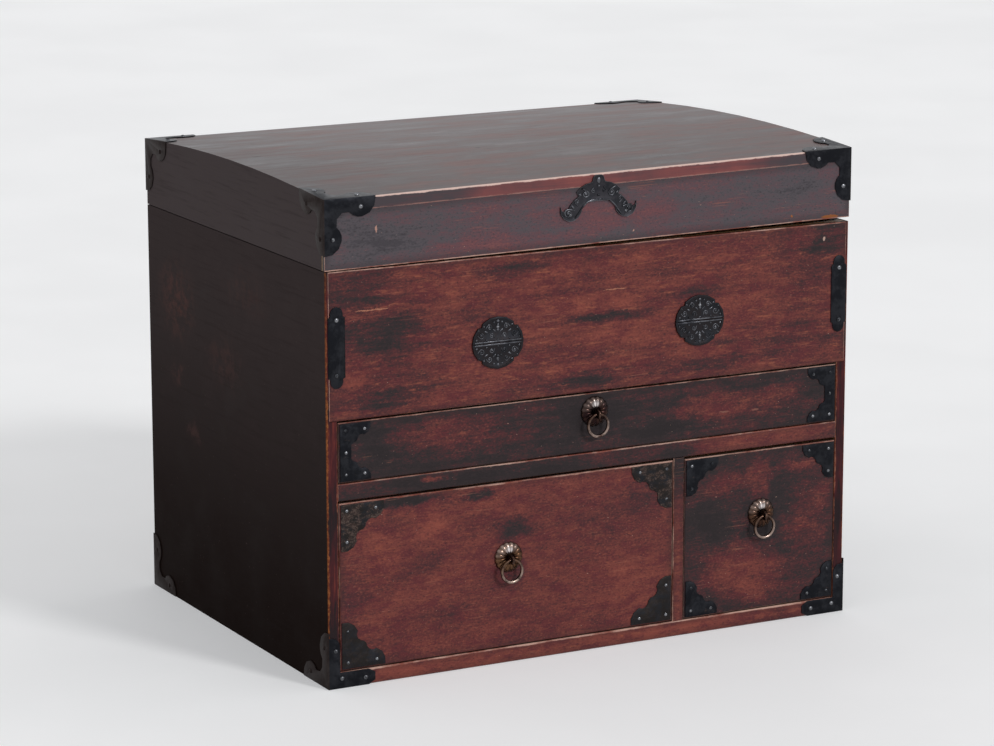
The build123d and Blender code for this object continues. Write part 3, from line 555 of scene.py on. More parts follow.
def plain_wood(name, base, dark, along):
    """Planed paulownia left bare: soft pale bands along the board and a matt surface."""
    material, add, place = new_material(name)
    sizes = [110 if axis == along else 7 for axis in "XYZ"]
    rings = clouds(add, place, sizes, 4.0, 0.55, 2.0)
    pores = clouds(add, place, [size * 0.13 for size in sizes], 3.0, 0.6, 8.0)
    stains = clouds(add, place, (60, 60, 60), 4.0, 0.6, 5.0)
    colour = coat(add, base, dark, rings, 0.36, 0.66)
    colour = coat(add, colour, "#54402c", pores, 0.55, 0.72, 0.35)
    colour = coat(add, colour, "#6b543c", stains, 0.5, 0.75, 0.35)
    finish_material(add, colour, 0.72, (pores, 0.35, 0.2))
    return material


def forged_iron(name, base, rust=0.0, seed=0.0, polish=0.0, ridge=None, rust_above=None):
    """Hammered wrought iron blackened with lacquer: shallow facets, small grey glints, some rust.

    The plates on the chest's sides were lacquered over with the boards, so they have their colour.
    ridge is (millimetres in front of the board, colour): whatever stands further out is rubbed bright,
    its colour partly a painted highlight; rust_above is the height under which the lacquer has kept
    most of the rust away.
    """
    material, add, place = new_material(name)
    hammer = clouds(add, place, (5, 5, 5), 1.0, 0.5, seed + 3.0)
    mottle = clouds(add, place, (9, 9, 9), 5.0, 0.7, seed + 6.0)
    grit = clouds(add, place, (0.8, 0.8, 0.8), 2.0, 0.6, seed + 9.0)
    colour = coat(add, base, "#2b2c30", mottle, 0.42, 0.62)
    rusty = coat(add, "#3a2e2b", "#62544e", grit, 0.4, 0.65)
    patches = clouds(add, place, (6, 6, 4), 6.0, 0.78, seed + 1.0)
    spread = add(TIMES, add(RAMP, patches, 0.66 - rust * 0.35, 0.74 - rust * 0.3), 0.3 + rust)
    x, y, z = add("SeparateXYZ", place).node.outputs
    if rust_above is not None:
        above = add(RAMP, z, (rust_above - 8) * MM, (rust_above + 8) * MM)
        spread = add(TIMES, spread, add(PLUS, add(TIMES, above, 0.85), 0.15))
    colour = add(MIX, spread, colour, rusty)
    height = fold(add, PLUS, hammer, add(TIMES, grit, 0.08), add(TIMES, mottle, 0.3))
    # Raised parts paler: rubbed iron with a painted highlight.
    if ridge is not None:
        face = FRONT_Y - ridge[0]
        raised = add(RAMP, y, (face + 0.1) * MM, (face - 0.1) * MM)
        colour = add(MIX, add(TIMES, raised, add(RAMP, mottle, 0.3, 0.55)), colour, ridge[1])
    lacquered = add(RAMP, add("Math ABSOLUTE", x), HALF_W * MM, (HALF_W + 0.5) * MM)
    colour = add(MIX, lacquered, colour, coat(add, "#2c2423", "#3b3433", mottle, 0.4, 0.65))
    metal = add(TIMES, add("MapRange", spread, 0.0, 1.0, 1.0, 0.25), add("Math SUBTRACT", 1.0, lacquered))
    roughness = add("MapRange", mottle, 0.3, 0.7, 0.3 - polish, 0.48 - polish)
    finish_material(add, colour, roughness, (height, 0.5, 0.3), Metallic=metal, Specular_IOR_Level=0.03)
    return material


def patinated_bronze(name, colours, seed, dark, middle=None, ring=None):
    """Cast bronze under a warm brown patina: glossy, dark in the flutes, rubbed pale on the ridges.

    dark is how far the patina has gone towards black. middle is the (x, z) of a rosette, whose
    petals are palest at the top, rubbed bronze with a painted highlight, and carry a painted glint
    near the crown; ring is the (x, z) of a ring, whose face is palest below and to the right,
    polished bronze with a painted highlight.
    """
    material, add, place = new_material(name)
    mottle = clouds(add, place, (4.0, 4.0, 4.0), 4.0, 0.6, seed + 1.0)
    grit = clouds(add, place, (0.6, 0.6, 0.6), 2.0, 0.6, seed + 4.0)
    colour = coat(add, colours.bronze_patina, colours.bronze, mottle, 0.36, 0.64)
    colour = add(MIX, dark, colour, "#21161a")
    pale = "#c0aba0"
    across, upward = middle or ring
    from_middle = add("VectorMath SUBTRACT", place, millimetres((across, 0, upward)))
    x, y, z = add("SeparateXYZ", from_middle).node.outputs
    if middle:
        reach = add("VectorMath LENGTH", add("CombineXYZ", x, 0.0, z))
        flutes = add("Math COSINE", add(TIMES, add("Math ARCTAN2", z, x), 16.0))
        outer = add(RAMP, reach, 2.6 * MM, 5.2 * MM)
        colour = coat(add, colour, "#1c110d", flutes, 0.0, 1.0, outer, 0.3)
        # The upper ridges of the petals turn pale: rubbed bronze with a painted highlight.
        upper = add(RAMP, add(PLUS, z, add(TIMES, x, -0.3)), 1.0 * MM, 9.0 * MM)
        crests = add(PLUS, add(TIMES, add(RAMP, flutes, 0.9, -0.9), 0.6), 0.4)
        colour = add(MIX, fold(add, TIMES, crests, upper, outer, 0.55 - 0.4 * dark), colour, pale)
        # A near-white painted glint near the crown.
        painted_glint = front_patch(add, place, across - 0.6, upward + 5.2, 3.4, 3.0)
        colour = add(MIX, add(TIMES, painted_glint, crests), colour, "#f0e8e6")
        colour = coat(add, colour, "#150d0a", reach, 4.0 * MM, 2.2 * MM, 0.6)
    else:
        face = FRONT_Y - EYE_STANDOFF - 0.6
        # The ring's front turns pale, most below and to the right: polished bronze with a painted highlight.
        low = add(RAMP, add(PLUS, add(TIMES, z, -1.0), add(TIMES, x, 0.3)), -7.0 * MM, 7.0 * MM)
        rubbed = add(PLUS, add(TIMES, low, 0.5), 0.06)
        glossy = add(RAMP, mottle, 0.25, 0.55)
        colour = coat(add, colour, pale, y, face * MM, (face - 0.3) * MM, rubbed, glossy)
    roughness = add("MapRange", mottle, 0.3, 0.7, 0.34, 0.22)
    finish_material(add, colour, roughness, (grit, 0.15, 0.04), Metallic=1.0)
    return material


# ---------------------------------------------------------------- modelling helpers


def dress(material, *nodes):
    """Gives CAD nodes one material."""
    for node in nodes:
        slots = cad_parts[node].data.materials
        slots.clear()
        slots.append(material)


def choose(*pieces):
    """Selects these pieces and nothing else, the first one active."""
    bpy.ops.object.select_all(action="DESELECT")
    for piece in pieces:
        piece.select_set(True)
    bpy.context.view_layer.objects.active = pieces[0]


def settle(piece, name, material, body, nodes):
    """Names a finished piece, applies its place to its mesh, gives it its material, parents it to its body and
    hides the CAD nodes it stands for.
    """
    choose(piece)
    bpy.ops.object.transform_apply()
    piece.name = name
    piece.data.name = name
    piece.data.materials.clear()
    piece.data.materials.append(material)
    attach(piece, body)
    if nodes:
        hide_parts(*nodes)
    return piece


def mode(name):
    bpy.ops.object.mode_set(mode=name)


def resize(value, centre=(0, 0, 0)):
    """Scales what is selected about a point."""
    bpy.ops.transform.resize(value=value, center_override=centre)


def edit(piece, select="DESELECT"):
    """Edit mode on one piece alone, with nothing or, given SELECT, all of its mesh selected."""
    choose(piece)
    mode("EDIT")
    bpy.ops.mesh.select_mode(type="VERT")
    bpy.ops.mesh.select_all(action=select)


def pick(piece, test):
    """Selects the vertices whose place passes the test, in edit mode."""
    mode("OBJECT")
    mesh = piece.data
    for part in (mesh.edges, mesh.polygons):
        part.foreach_set("select", [False] * len(part))
    mesh.vertices.foreach_set("select", [bool(test(vertex.co)) for vertex in mesh.vertices])
    mode("EDIT")
    bpy.ops.mesh.select_mode(type="VERT")


def pick_faces(piece, test):
    """Selects the faces whose middle and normal pass the test, in edit mode."""
    edit(piece)
    bpy.ops.mesh.select_mode(type="FACE")
    mode("OBJECT")
    faces = piece.data.polygons
    faces.foreach_set("select", [bool(test(face.center, face.normal)) for face in faces])
    mode("EDIT")


def outward(piece):
    """Merges doubles and turns every face outwards."""
    edit(piece, "SELECT")
    bpy.ops.mesh.remove_doubles(threshold=1e-6)
    bpy.ops.mesh.normals_make_consistent(inside=False)
    mode("OBJECT")


def squeeze(piece, value):
    """Scales a piece's whole mesh about its origin."""
    edit(piece, "SELECT")
    resize(value)
    mode("OBJECT")


def smooth(degrees_between):
    """Shades the selected piece smooth, but for edges sharper than this."""
    bpy.ops.object.shade_smooth_by_angle(angle=radians(degrees_between))


def apply_modifier(piece, name):
    choose(piece)
    bpy.ops.object.modifier_apply(modifier=name)


def join(pieces):
    """One object from several."""
    choose(*pieces)
    bpy.ops.object.join()
    return pieces[0]


def another(model, name):
    """A copy of a piece with its own mesh."""
    piece = bpy.data.objects.new(name, model.data.copy())
    bpy.context.scene.collection.objects.link(piece)
    return piece


def node_copy(node, flat=1.0):
    """A loose copy of a CAD node with its doubles merged and its flat faces made whole."""
    piece = another(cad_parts[node], node + "_copy")
    edit(piece, "SELECT")
    bpy.ops.mesh.remove_doubles(threshold=2e-6)
    bpy.ops.mesh.dissolve_limited(angle_limit=radians(flat))
    mode("OBJECT")
    return piece


def soften(piece, width):
    """Files the sharp arrises of a plate to a small round."""
    bevel = piece.modifiers.new("arris", "BEVEL")
    bevel.width = width * MM
    bevel.segments = 2
    bevel.limit_method = "ANGLE"
    bevel.angle_limit = radians(50)
    apply_modifier(piece, "arris")
    smooth(40)


def on_front(piece, x, z, stand):
    """Turns a piece made round the Z axis to face forwards, at x and z on the front."""
    piece.rotation_euler = Euler((radians(90), 0, 0))
    piece.location = millimetres((x, FRONT_Y - stand, z))
    choose(piece)
    bpy.ops.object.transform_apply()
    return piece


def wire_mesh(points, radius, smoothness, roundness):
    """A raised wire through points (across, upward, share of its radius) in millimetres."""
    bpy.ops.curve.primitive_nurbs_path_add(radius=MM)
    path = bpy.context.active_object
    spline = path.data.splines[0]
    spline.points.add(len(points) - len(spline.points))
    for point, (across, upward, share) in zip(spline.points, points):
        point.co = (across * MM, upward * MM, 0, 1)
        point.radius = share
    spline.order_u = 3
    spline.use_endpoint_u = True
    spline.resolution_u = smoothness
    path.data.bevel_depth = radius * MM
    path.data.bevel_resolution = roundness
    path.data.use_fill_caps = True
    choose(path)
    bpy.ops.object.convert(target="MESH")
    bpy.ops.object.shade_smooth()
    return bpy.context.active_object


def curl(x, z, radius, start, hand, stand, wire, turns, tail):
    """A chased scroll: raised wire that winds in from its tail to a bead at its eye.

    start is the angle in degrees at which the outer turn begins, hand 1 for anticlockwise and -1
    for clockwise; the tail runs straight on from there.
    """
    steps = 11
    points = []
    for share in [index / steps for index in range(steps + 1)]:
        angle = radians(start + hand * 360 * turns * share)
        reach = radius * (1 - 0.78 * share**0.8)
        points.append([reach * cos(angle), reach * sin(angle), 1.0 - 0.3 * share])
    points[0][0] += hand * tail * sin(radians(start))
    points[0][1] -= hand * tail * cos(radians(start))
    scroll = wire_mesh(points, wire, 3, 1)
    bpy.ops.mesh.primitive_uv_sphere_add(segments=10, ring_count=6, radius=radius * 0.3 * MM)
    bead = bpy.context.active_object
    squeeze(bead, (1, 1, 0.8))
    scroll = join([scroll, bead])
    bpy.ops.object.shade_smooth()
    return on_front(scroll, x, z, stand)


def boss(x, z, size, stand, tilt=0.0):
    """A small raised bead or leaf, size (half width, half height, rise), turned by tilt degrees."""
    bpy.ops.mesh.primitive_uv_sphere_add(segments=12, ring_count=8, radius=MM)
    leaf = bpy.context.active_object
    squeeze(leaf, size)
    pick(leaf, lambda co: co.z < -0.3 * size[2] * MM)
    resize((1.08, 1.08, 1))
    mode("OBJECT")
    leaf.rotation_euler = Euler((0, 0, radians(tilt)))
    bpy.ops.object.transform_apply(location=False, rotation=True, scale=False)
    bpy.ops.object.shade_smooth()
    return on_front(leaf, x, z, stand)


def lid_height(x, y):
    """Height of the lid's top in millimetres: an arch, twisted up at its front right corner."""
    arch = LID_CROWN * (1 - (y / HALF_D) ** 2)
    return LID_CORNER_HEIGHT + arch + LID_TWIST * (x + HALF_W) / (2 * HALF_W) * (HALF_D - y) / (2 * HALF_D)


# ---------------------------------------------------------------- settings


def colour_setting(name, description, colour):
    """A colour that a user can change, given as sRGB hex."""
    return bpy.props.FloatVectorProperty(
        name=name, description=description, default=linear(colour), subtype="COLOR", size=4, min=0.0, max=1.0
    )


def length_setting(name, description, size):
    """A length that a user can change, given in millimetres."""
    return bpy.props.FloatProperty(name=name, description=description, default=size * MM, unit="LENGTH")


class ChestColours(bpy.types.PropertyGroup):
    """Colours that a user would change"""

    dark_lacquer: colour_setting("Dark lacquer", "Top coat and grime of the front boards", "#2e2628")
    plum_lacquer: colour_setting("Plum lacquer", "Where red starts to show through", "#4b282b")
    red_lacquer: colour_setting("Red lacquer", "Red-brown lacquer of the front", "#683431")
    rubbed_red: colour_setting("Rubbed red", "Places rubbed thin by hands", "#85453b")
    bare_edge: colour_setting("Bare edge", "Wood bared along the arrises", "#86483a")
    side_lacquer: colour_setting("Side lacquer", "Near-black lacquer of the sides", "#3a3131")
    lid_lacquer: colour_setting("Lid lacquer", "Rubbed brown lacquer of the lid's top", "#382c2a")
    inner_wood: colour_setting("Inner wood", "Bare wood inside the drawers", "#a5835a")
    iron: colour_setting("Iron", "Blackened iron of the plates", "#1e1f23")
    # Pale iron of the chased scrolls, beads and lips: rubbed iron, partly a painted highlight.
    rubbed_and_highlit_iron: colour_setting("Rubbed iron", "Ridges of the chased plates", "#606166")
    nail_iron: colour_setting("Nail iron", "Rubbed iron of the nails' heads", "#85868a")
    bronze: colour_setting("Bronze", "Rubbed bronze of the pulls", "#70523c")
    bronze_patina: colour_setting("Bronze patina", "Brown patina of the pulls", "#38251a")


class ChestSizes(bpy.types.PropertyGroup):
    """Sizes of the fittings that a user would change"""

    nail_radius: length_setting("Nail radius", "Radius of a large nail's head", 1.5)
    nail_rise: length_setting("Nail rise", "Height of a large nail's dome", 0.85)
    plate_round: length_setting("Plate round", "Radius filed on the arrises of the plates", 0.22)
    rosette_radius: length_setting("Rosette radius", "Radius of a pull's rosette", 10.0)
    rosette_rise: length_setting("Rosette rise", "Height of a pull's rosette", 3.2)
    petals: bpy.props.IntProperty(name="Petals", description="Petals of a rosette", default=16, min=6, max=32)
    ring_radius: length_setting("Ring radius", "Middle radius of a pull's ring", 7.2)
    ring_wire: length_setting("Ring wire", "Radius of a ring's wire", 1.0)


# ---------------------------------------------------------------- operators


class CHEST_OT_case_boards(bpy.types.Operator):
    """Lacquer and wear on the boards of the case"""

    bl_idname = "chest.case_boards"
    bl_label = "Case boards"

    def execute(self, context):
        colours = context.scene.chest_colours
        dress(side_lacquer("near_black_side_lacquer", colours), "side_board_left", "side_board_right")
        dress(plain_wood("stained_back_board_pine", "#5b4634", "#453527", "X"), "back_board")
        dress(plain_wood("bare_compartment_paulownia", "#8f7150", "#77593b", "X"), "compartment_floor")
        for board in ("upper_front_board", "middle_shelf", "drawer_divider", "bottom_board"):
            dress(worn_lacquer(colours=colours, **WORN_BOARDS[board]), board)
        return {"FINISHED"}


class CHEST_OT_lid_boards(bpy.types.Operator):
    """Lacquer and wear on the lid's boards"""

    bl_idname = "chest.lid_boards"
    bl_label = "Lid boards"

    def execute(self, context):
        colours = context.scene.chest_colours
        top = node_copy("lid_top_board", flat=0.3)
        choose(top)
        smooth(20)
        lacquer = lid_top_lacquer("rubbed_lid_lacquer", colours)
        # The lid's ends get a paler copy of the side lacquer: a painted sheen.
        ends = side_lacquer("near_black_lid_end_lacquer", colours, light=0.6)
        settle(top, "lid_top_board_planed", lacquer, "lid", ["lid_top_board"])
        inside = plain_wood("bare_lid_inside_paulownia", "#8f7150", "#77593b", "X")
        for index, material, wanted in (
            (1, ends, lambda middle, normal: abs(normal.x) > 0.9),
            (2, inside, lambda middle, normal: normal.z < -0.5),
        ):
            top.data.materials.append(material)
            pick_faces(top, wanted)
            top.active_material_index = index
            bpy.ops.object.material_slot_assign()
            mode("OBJECT")
        dress(worn_lacquer(colours=colours, **WORN_BOARDS["lid_front_rail"]), "lid_front_rail")
        dress(ends, "lid_back_rail", "lid_end_left", "lid_end_right")
        return {"FINISHED"}


class CHEST_OT_drawer_fronts(bpy.types.Operator):
    """Lacquer and wear on the three drawer fronts"""

    bl_idname = "chest.drawer_fronts"
    bl_label = "Drawer fronts"

    def execute(self, context):
        colours = context.scene.chest_colours
        for drawer in PULLS:
            front = drawer + "_front"
            dress(worn_lacquer(colours=colours, lacquered=3.0, **WORN_BOARDS[front]), front)
        return {"FINISHED"}


class CHEST_OT_drawer_boxes(bpy.types.Operator):
    """Bare wood of the drawers' sides, backs and bottoms"""

    bl_idname = "chest.drawer_boxes"
    bl_label = "Drawer boxes"

    def execute(self, context):
        colours = context.scene.chest_colours
        sides = plain_wood("bare_side_paulownia", colours.inner_wood, "#8d6c47", "Y")
        backs = plain_wood("bare_back_paulownia", colours.inner_wood, "#86653f", "X")
        for drawer in PULLS:
            dress(sides, drawer + "_sides")
            dress(backs, drawer + "_back", drawer + "_bottom")
        return {"FINISHED"}


class CHEST_OT_iron_plates(bpy.types.Operator):
    """Caps, straps, corner plates and hinges with filed arrises, in blackened iron"""

    bl_idname = "chest.iron_plates"
    bl_label = "Iron plates"

    def execute(self, context):
        colours = context.scene.chest_colours
        round_size = context.scene.chest_sizes.plate_round / MM
        iron = forged_iron("blackened_cap_iron", colours.iron)
        rusty = forged_iron("rusting_plate_iron", "#2c2928", rust=0.55, seed=4.0, rust_above=70)
        spotted = forged_iron("rust_spotted_plate_iron", colours.iron, rust=0.15, seed=9.0)
        for node, body, material in (
            ("base_corner_caps", "carcass", iron),
            ("front_straps", "carcass", iron),
            ("lid_corner_caps", "lid", iron),
            ("long_drawer_corner_plates", "long_drawer", spotted),
            ("left_drawer_corner_plates", "left_drawer", rusty),
            ("right_drawer_corner_plates", "right_drawer", spotted),
            ("body_hinge_leaves", "carcass", iron),
            ("lid_hinge_leaves", "lid", iron),
        ):
            piece = node_copy(node)
            soften(piece, round_size)
            settle(piece, node + "_filed", material, body, [node])
        dress(iron, "hinge_pins")
        return {"FINISHED"}


class CHEST_OT_nails(bpy.types.Operator):
    """Domed heads for every nail"""

    bl_idname = "chest.nails"
    bl_label = "Nails"

    def execute(self, context):
        colours = context.scene.chest_colours
        sizes = context.scene.chest_sizes
        iron = forged_iron("rubbed_nail_iron", colours.nail_iron, seed=7.0, polish=0.1)
        groups = {"carcass_nails": "carcass", "lid_nails": "lid"}
        groups.update({drawer + "_nails": drawer for drawer in PULLS})
        dome = self.dome(sizes.nail_radius, sizes.nail_rise)
        for node, body in groups.items():
            heads = []
            for centre, normal, scale in self.heads(node):
                head = another(dome, "head")
                head.location = centre
                head.rotation_mode = "QUATERNION"
                head.rotation_quaternion = Vector((0, 0, 1)).rotation_difference(normal)
                head.scale = (scale, scale, scale)
                heads.append(head)
            choose(*heads)
            bpy.ops.object.transform_apply()
            settle(join(heads), node + "_domed", iron, body, [node])
        bpy.data.objects.remove(dome)
        return {"FINISHED"}

    def dome(self, radius, rise):
        """A low dome standing on z = 0, its crown hammered a little flat."""
        bpy.ops.mesh.primitive_uv_sphere_add(segments=14, ring_count=10, radius=radius)
        dome = bpy.context.active_object
        edit(dome, "SELECT")
        bpy.ops.mesh.bisect(plane_co=(0, 0, 0), plane_no=(0, 0, 1), use_fill=True, clear_inner=True)
        bpy.ops.mesh.select_all(action="SELECT")
        resize((1, 1, rise / radius))
        pick(dome, lambda co: co.z > rise * 0.97)
        resize((1, 1, 0.95))
        mode("OBJECT")
        outward(dome)
        smooth(50)
        return dome

    def heads(self, node):
        """Foot, outward direction and scale of each nail in a group, from its loose solids."""
        edit(node_copy(node), "SELECT")
        bpy.ops.mesh.separate(type="LOOSE")
        mode("OBJECT")
        found = []
        for nail in list(bpy.context.selected_objects):
            corners = [vertex.co.copy() for vertex in nail.data.vertices]
            middle = sum(corners, Vector()) / len(corners)
            spans = [max(c[i] for c in corners) - min(c[i] for c in corners) for i in range(3)]
            axis = spans.index(min(spans))
            normal = Vector((0, 0, 0))
            normal[axis] = 1 if middle[axis] > 0 else -1
            if node == "lid_nails" and axis == 2:
                x, y = middle.x / MM, middle.y / MM
                slope_x = lid_height(x + 0.5, y) - lid_height(x - 0.5, y)
                slope_y = lid_height(x, y + 0.5) - lid_height(x, y - 0.5)
                normal = Vector((-slope_x, -slope_y, 1)).normalized()
            wide = max(spans)
            rim = [c for c in corners if max(abs(c[i] - middle[i]) for i in range(3)) > wide * 0.42]
            foot = sum(rim, Vector()) / len(rim)
            found.append((foot, normal, wide / (NAIL_WIDTH * MM)))
            bpy.data.objects.remove(nail)
        return found


class CHEST_OT_medallions(bpy.types.Operator):
    """Split four-lobed plates with chased scrolls"""

    bl_idname = "chest.medallions"
    bl_label = "Medallions"

    def execute(self, context):
        colours = context.scene.chest_colours
        iron = forged_iron("blackened_medallion_iron", "#2d2a2c", rust=0.1, seed=2.0)
        plates = node_copy("medallions")
        soften(plates, 0.15)
        settle(plates, "medallions_filed", iron, "carcass", ["medallions"])
        pieces = []
        for x in MEDALLIONS:
            for side in (1, -1):
                pieces += self.chasing(x, MEDALLION_Z, side)
        # The chasing and the lips are pale: rubbed iron with a painted highlight.
        rubbed = forged_iron("rubbed_and_highlit_medallion_chasing", colours.rubbed_and_highlit_iron, seed=6.0, polish=0.06)
        settle(join(pieces), "medallions_chasing", rubbed, "carcass", [])
        return {"FINISHED"}

    def chasing(self, x, z, side):
        """Scrolls, beads and leaves of one half; side is 1 for the upper and -1 for the lower."""
        stand = 0.72
        made = []
        scrolls = ((11.6, 5.4, 2.5, -20, -1), (6.0, 10.2, 2.2, 20, 1), (4.4, 4.6, 2.0, 180, -1))
        for dx, dz, radius, start, hand in scrolls:
            for hand_side, begin in ((-1, 180 - start), (1, start)):
                place = (x + hand_side * dx, z + side * dz, radius)
                made.append(curl(*place, side * begin, side * hand_side * hand, stand, 0.36, 1.3, 1.2))
        for dx, dz, size in (
            (0.0, 13.9, 1.0),
            (2.9, 13.2, 0.7),
            (15.2, 2.8, 0.8),
            (10.0, 11.0, 0.75),
            (0.0, 8.4, 0.9),
            (8.2, 2.4, 0.6),
            (0.0, 2.2, 0.6),
            (13.6, 8.6, 0.6),
        ):
            for hand_side in (-1, 1) if dx else (1,):
                made.append(boss(x + hand_side * dx, z + side * dz, (size, size, 0.6), stand))
        for dx, dz, tilt in ((0.0, 11.2, 0), (2.5, 8.0, -50), (8.3, 7.4, -62)):
            for hand_side in (-1, 1) if dx else (1,):
                leaf = (0.6, 1.5, 0.55)
                made.append(boss(x + hand_side * dx, z + side * dz, leaf, stand, side * hand_side * tilt))
        made.append(self.lip(x, z + side * 0.9))
        return made

    def lip(self, x, z):
        """The narrow raised lip beside the split."""
        bpy.ops.mesh.primitive_cube_add(size=MM)
        lip = bpy.context.active_object
        squeeze(lip, (33.0, 0.8, 0.8))
        soften(lip, 0.2)
        return on_front(lip, x, z, 0.9)


class CHEST_OT_lid_ornament(bpy.types.Operator):
    """Arched ornament with curled feet, a finial and chased scrolls"""

    bl_idname = "chest.lid_ornament"
    bl_label = "Lid ornament"

    def execute(self, context):
        colours = context.scene.chest_colours
        # The raised border is paler, rubbed iron with a painted highlight, and so is the chasing.
        iron = forged_iron("blackened_ornament_iron", "#38373b", seed=5.0, ridge=(1.05, "#77787d"))
        rubbed = forged_iron("rubbed_and_highlit_ornament_chasing", colours.rubbed_and_highlit_iron, seed=8.0, polish=0.06)
        plate = node_copy("lid_ornament")
        pick_faces(plate, lambda middle, normal: normal.y < -0.99 and middle.y < (FRONT_Y - 0.9) * MM)
        bpy.ops.mesh.inset(thickness=0.75 * MM, depth=-0.35 * MM)
        mode("OBJECT")
        soften(plate, 0.12)
        settle(plate, "lid_ornament_filed", iron, "lid", ["lid_ornament"])
        pieces = []
        x, z = ORNAMENT
        stand = 0.8
        for side in (-1, 1):
            for dx, dz, radius, start, hand, wire, turns, tail in (
                (21.8, 5.6, 3.7, 120, -1, 0.55, 1.5, 3.0),
                (9.4, 17.0, 3.0, 100, 1, 0.55, 1.5, 3.0),
                (15.6, 12.6, 2.0, -60, 1, 0.45, 1.2, 2.0),
                (3.8, 18.6, 1.7, 60, -1, 0.42, 1.1, 1.4),
            ):
                begin = start if side > 0 else 180 - start
                pieces.append(curl(x + side * dx, z + dz, radius, begin, side * hand, stand, wire, turns, tail))
            pieces.append(boss(x + side * 18.6, z + 9.4, (0.7, 1.8, 0.6), stand, side * -40))
            pieces.append(boss(x + side * 13.4, z + 16.8, (0.7, 1.2, 0.6), stand, side * -50))
            pieces.append(self.bow(x, z, side))
        for dz, size in ((25.2, (1.4, 2.2, 0.9)), (21.6, (0.9, 0.9, 0.8)), (15.9, (1.2, 0.8, 0.7))):
            pieces.append(boss(x, z + dz, size, stand))
        settle(join(pieces), "lid_ornament_chasing", rubbed, "lid", [])
        return {"FINISHED"}

    def bow(self, x, z, side):
        """Half of the raised band that follows the inside of the arch."""
        places = ((0.0, 13.1), (4.5, 13.0), (8.0, 12.2), (12.0, 8.6), (14.6, 5.0), (17.0, 2.2))
        band = wire_mesh([(side * across, upward, 1.0) for across, upward in places], 0.5, 4, 2)
        return on_front(band, x, z, 0.95)


class CHEST_OT_rosettes(bpy.types.Operator):
    """Sixteen-petal rosettes behind the ring pulls"""

    bl_idname = "chest.rosettes"
    bl_label = "Rosettes"

    def execute(self, context):
        colours = context.scene.chest_colours
        sizes = context.scene.chest_sizes
        model = self.rosette(sizes.rosette_radius, sizes.rosette_rise, sizes.petals)
        for drawer, (x, z) in PULLS.items():
            name = drawer + "_rosette_bronze"
            bronze = patinated_bronze(name, colours, seed=x * MM, dark=PATINA[drawer], middle=(x, z))
            piece = on_front(another(model, "rosette"), x, z, 0.0)
            settle(piece, drawer + "_rosette_fluted", bronze, drawer, [drawer + "_rosette"])
        bpy.data.objects.remove(model)
        return {"FINISHED"}

    def rosette(self, radius, rise, petals):
        """A disc drawn up into a dished dome, its meridians drawn in and out as petals."""
        around = petals * 6
        bpy.ops.mesh.primitive_circle_add(vertices=around, radius=radius, fill_type="NGON")
        piece = bpy.context.active_object
        edit(piece, "SELECT")
        reach, level = 1.0, 0.0
        for share, height in ROSETTE_PROFILE:
            bpy.ops.mesh.extrude_region_move(TRANSFORM_OT_translate={"value": (0, 0, (height - level) * rise)})
            resize((share / reach, share / reach, 1))
            reach, level = share, height
        step = 2 * pi / around
        for place, draw, sink in ((0, 0.95, 0.9), (1, 0.982, 0.965), (5, 0.982, 0.965)):

            def on_meridian(co, place=place):
                index = round(atan2(co.y, co.x) / step) % 6
                return index == place and co.xy.length > radius * 0.28 and co.z > 0.05 * MM

            pick(piece, on_meridian)
            resize((draw, draw, sink))
        mode("OBJECT")
        rounder = piece.modifiers.new("smooth", "SUBSURF")
        rounder.levels = 1
        rounder.render_levels = 1
        apply_modifier(piece, "smooth")
        outward(piece)
        smooth(60)
        return piece


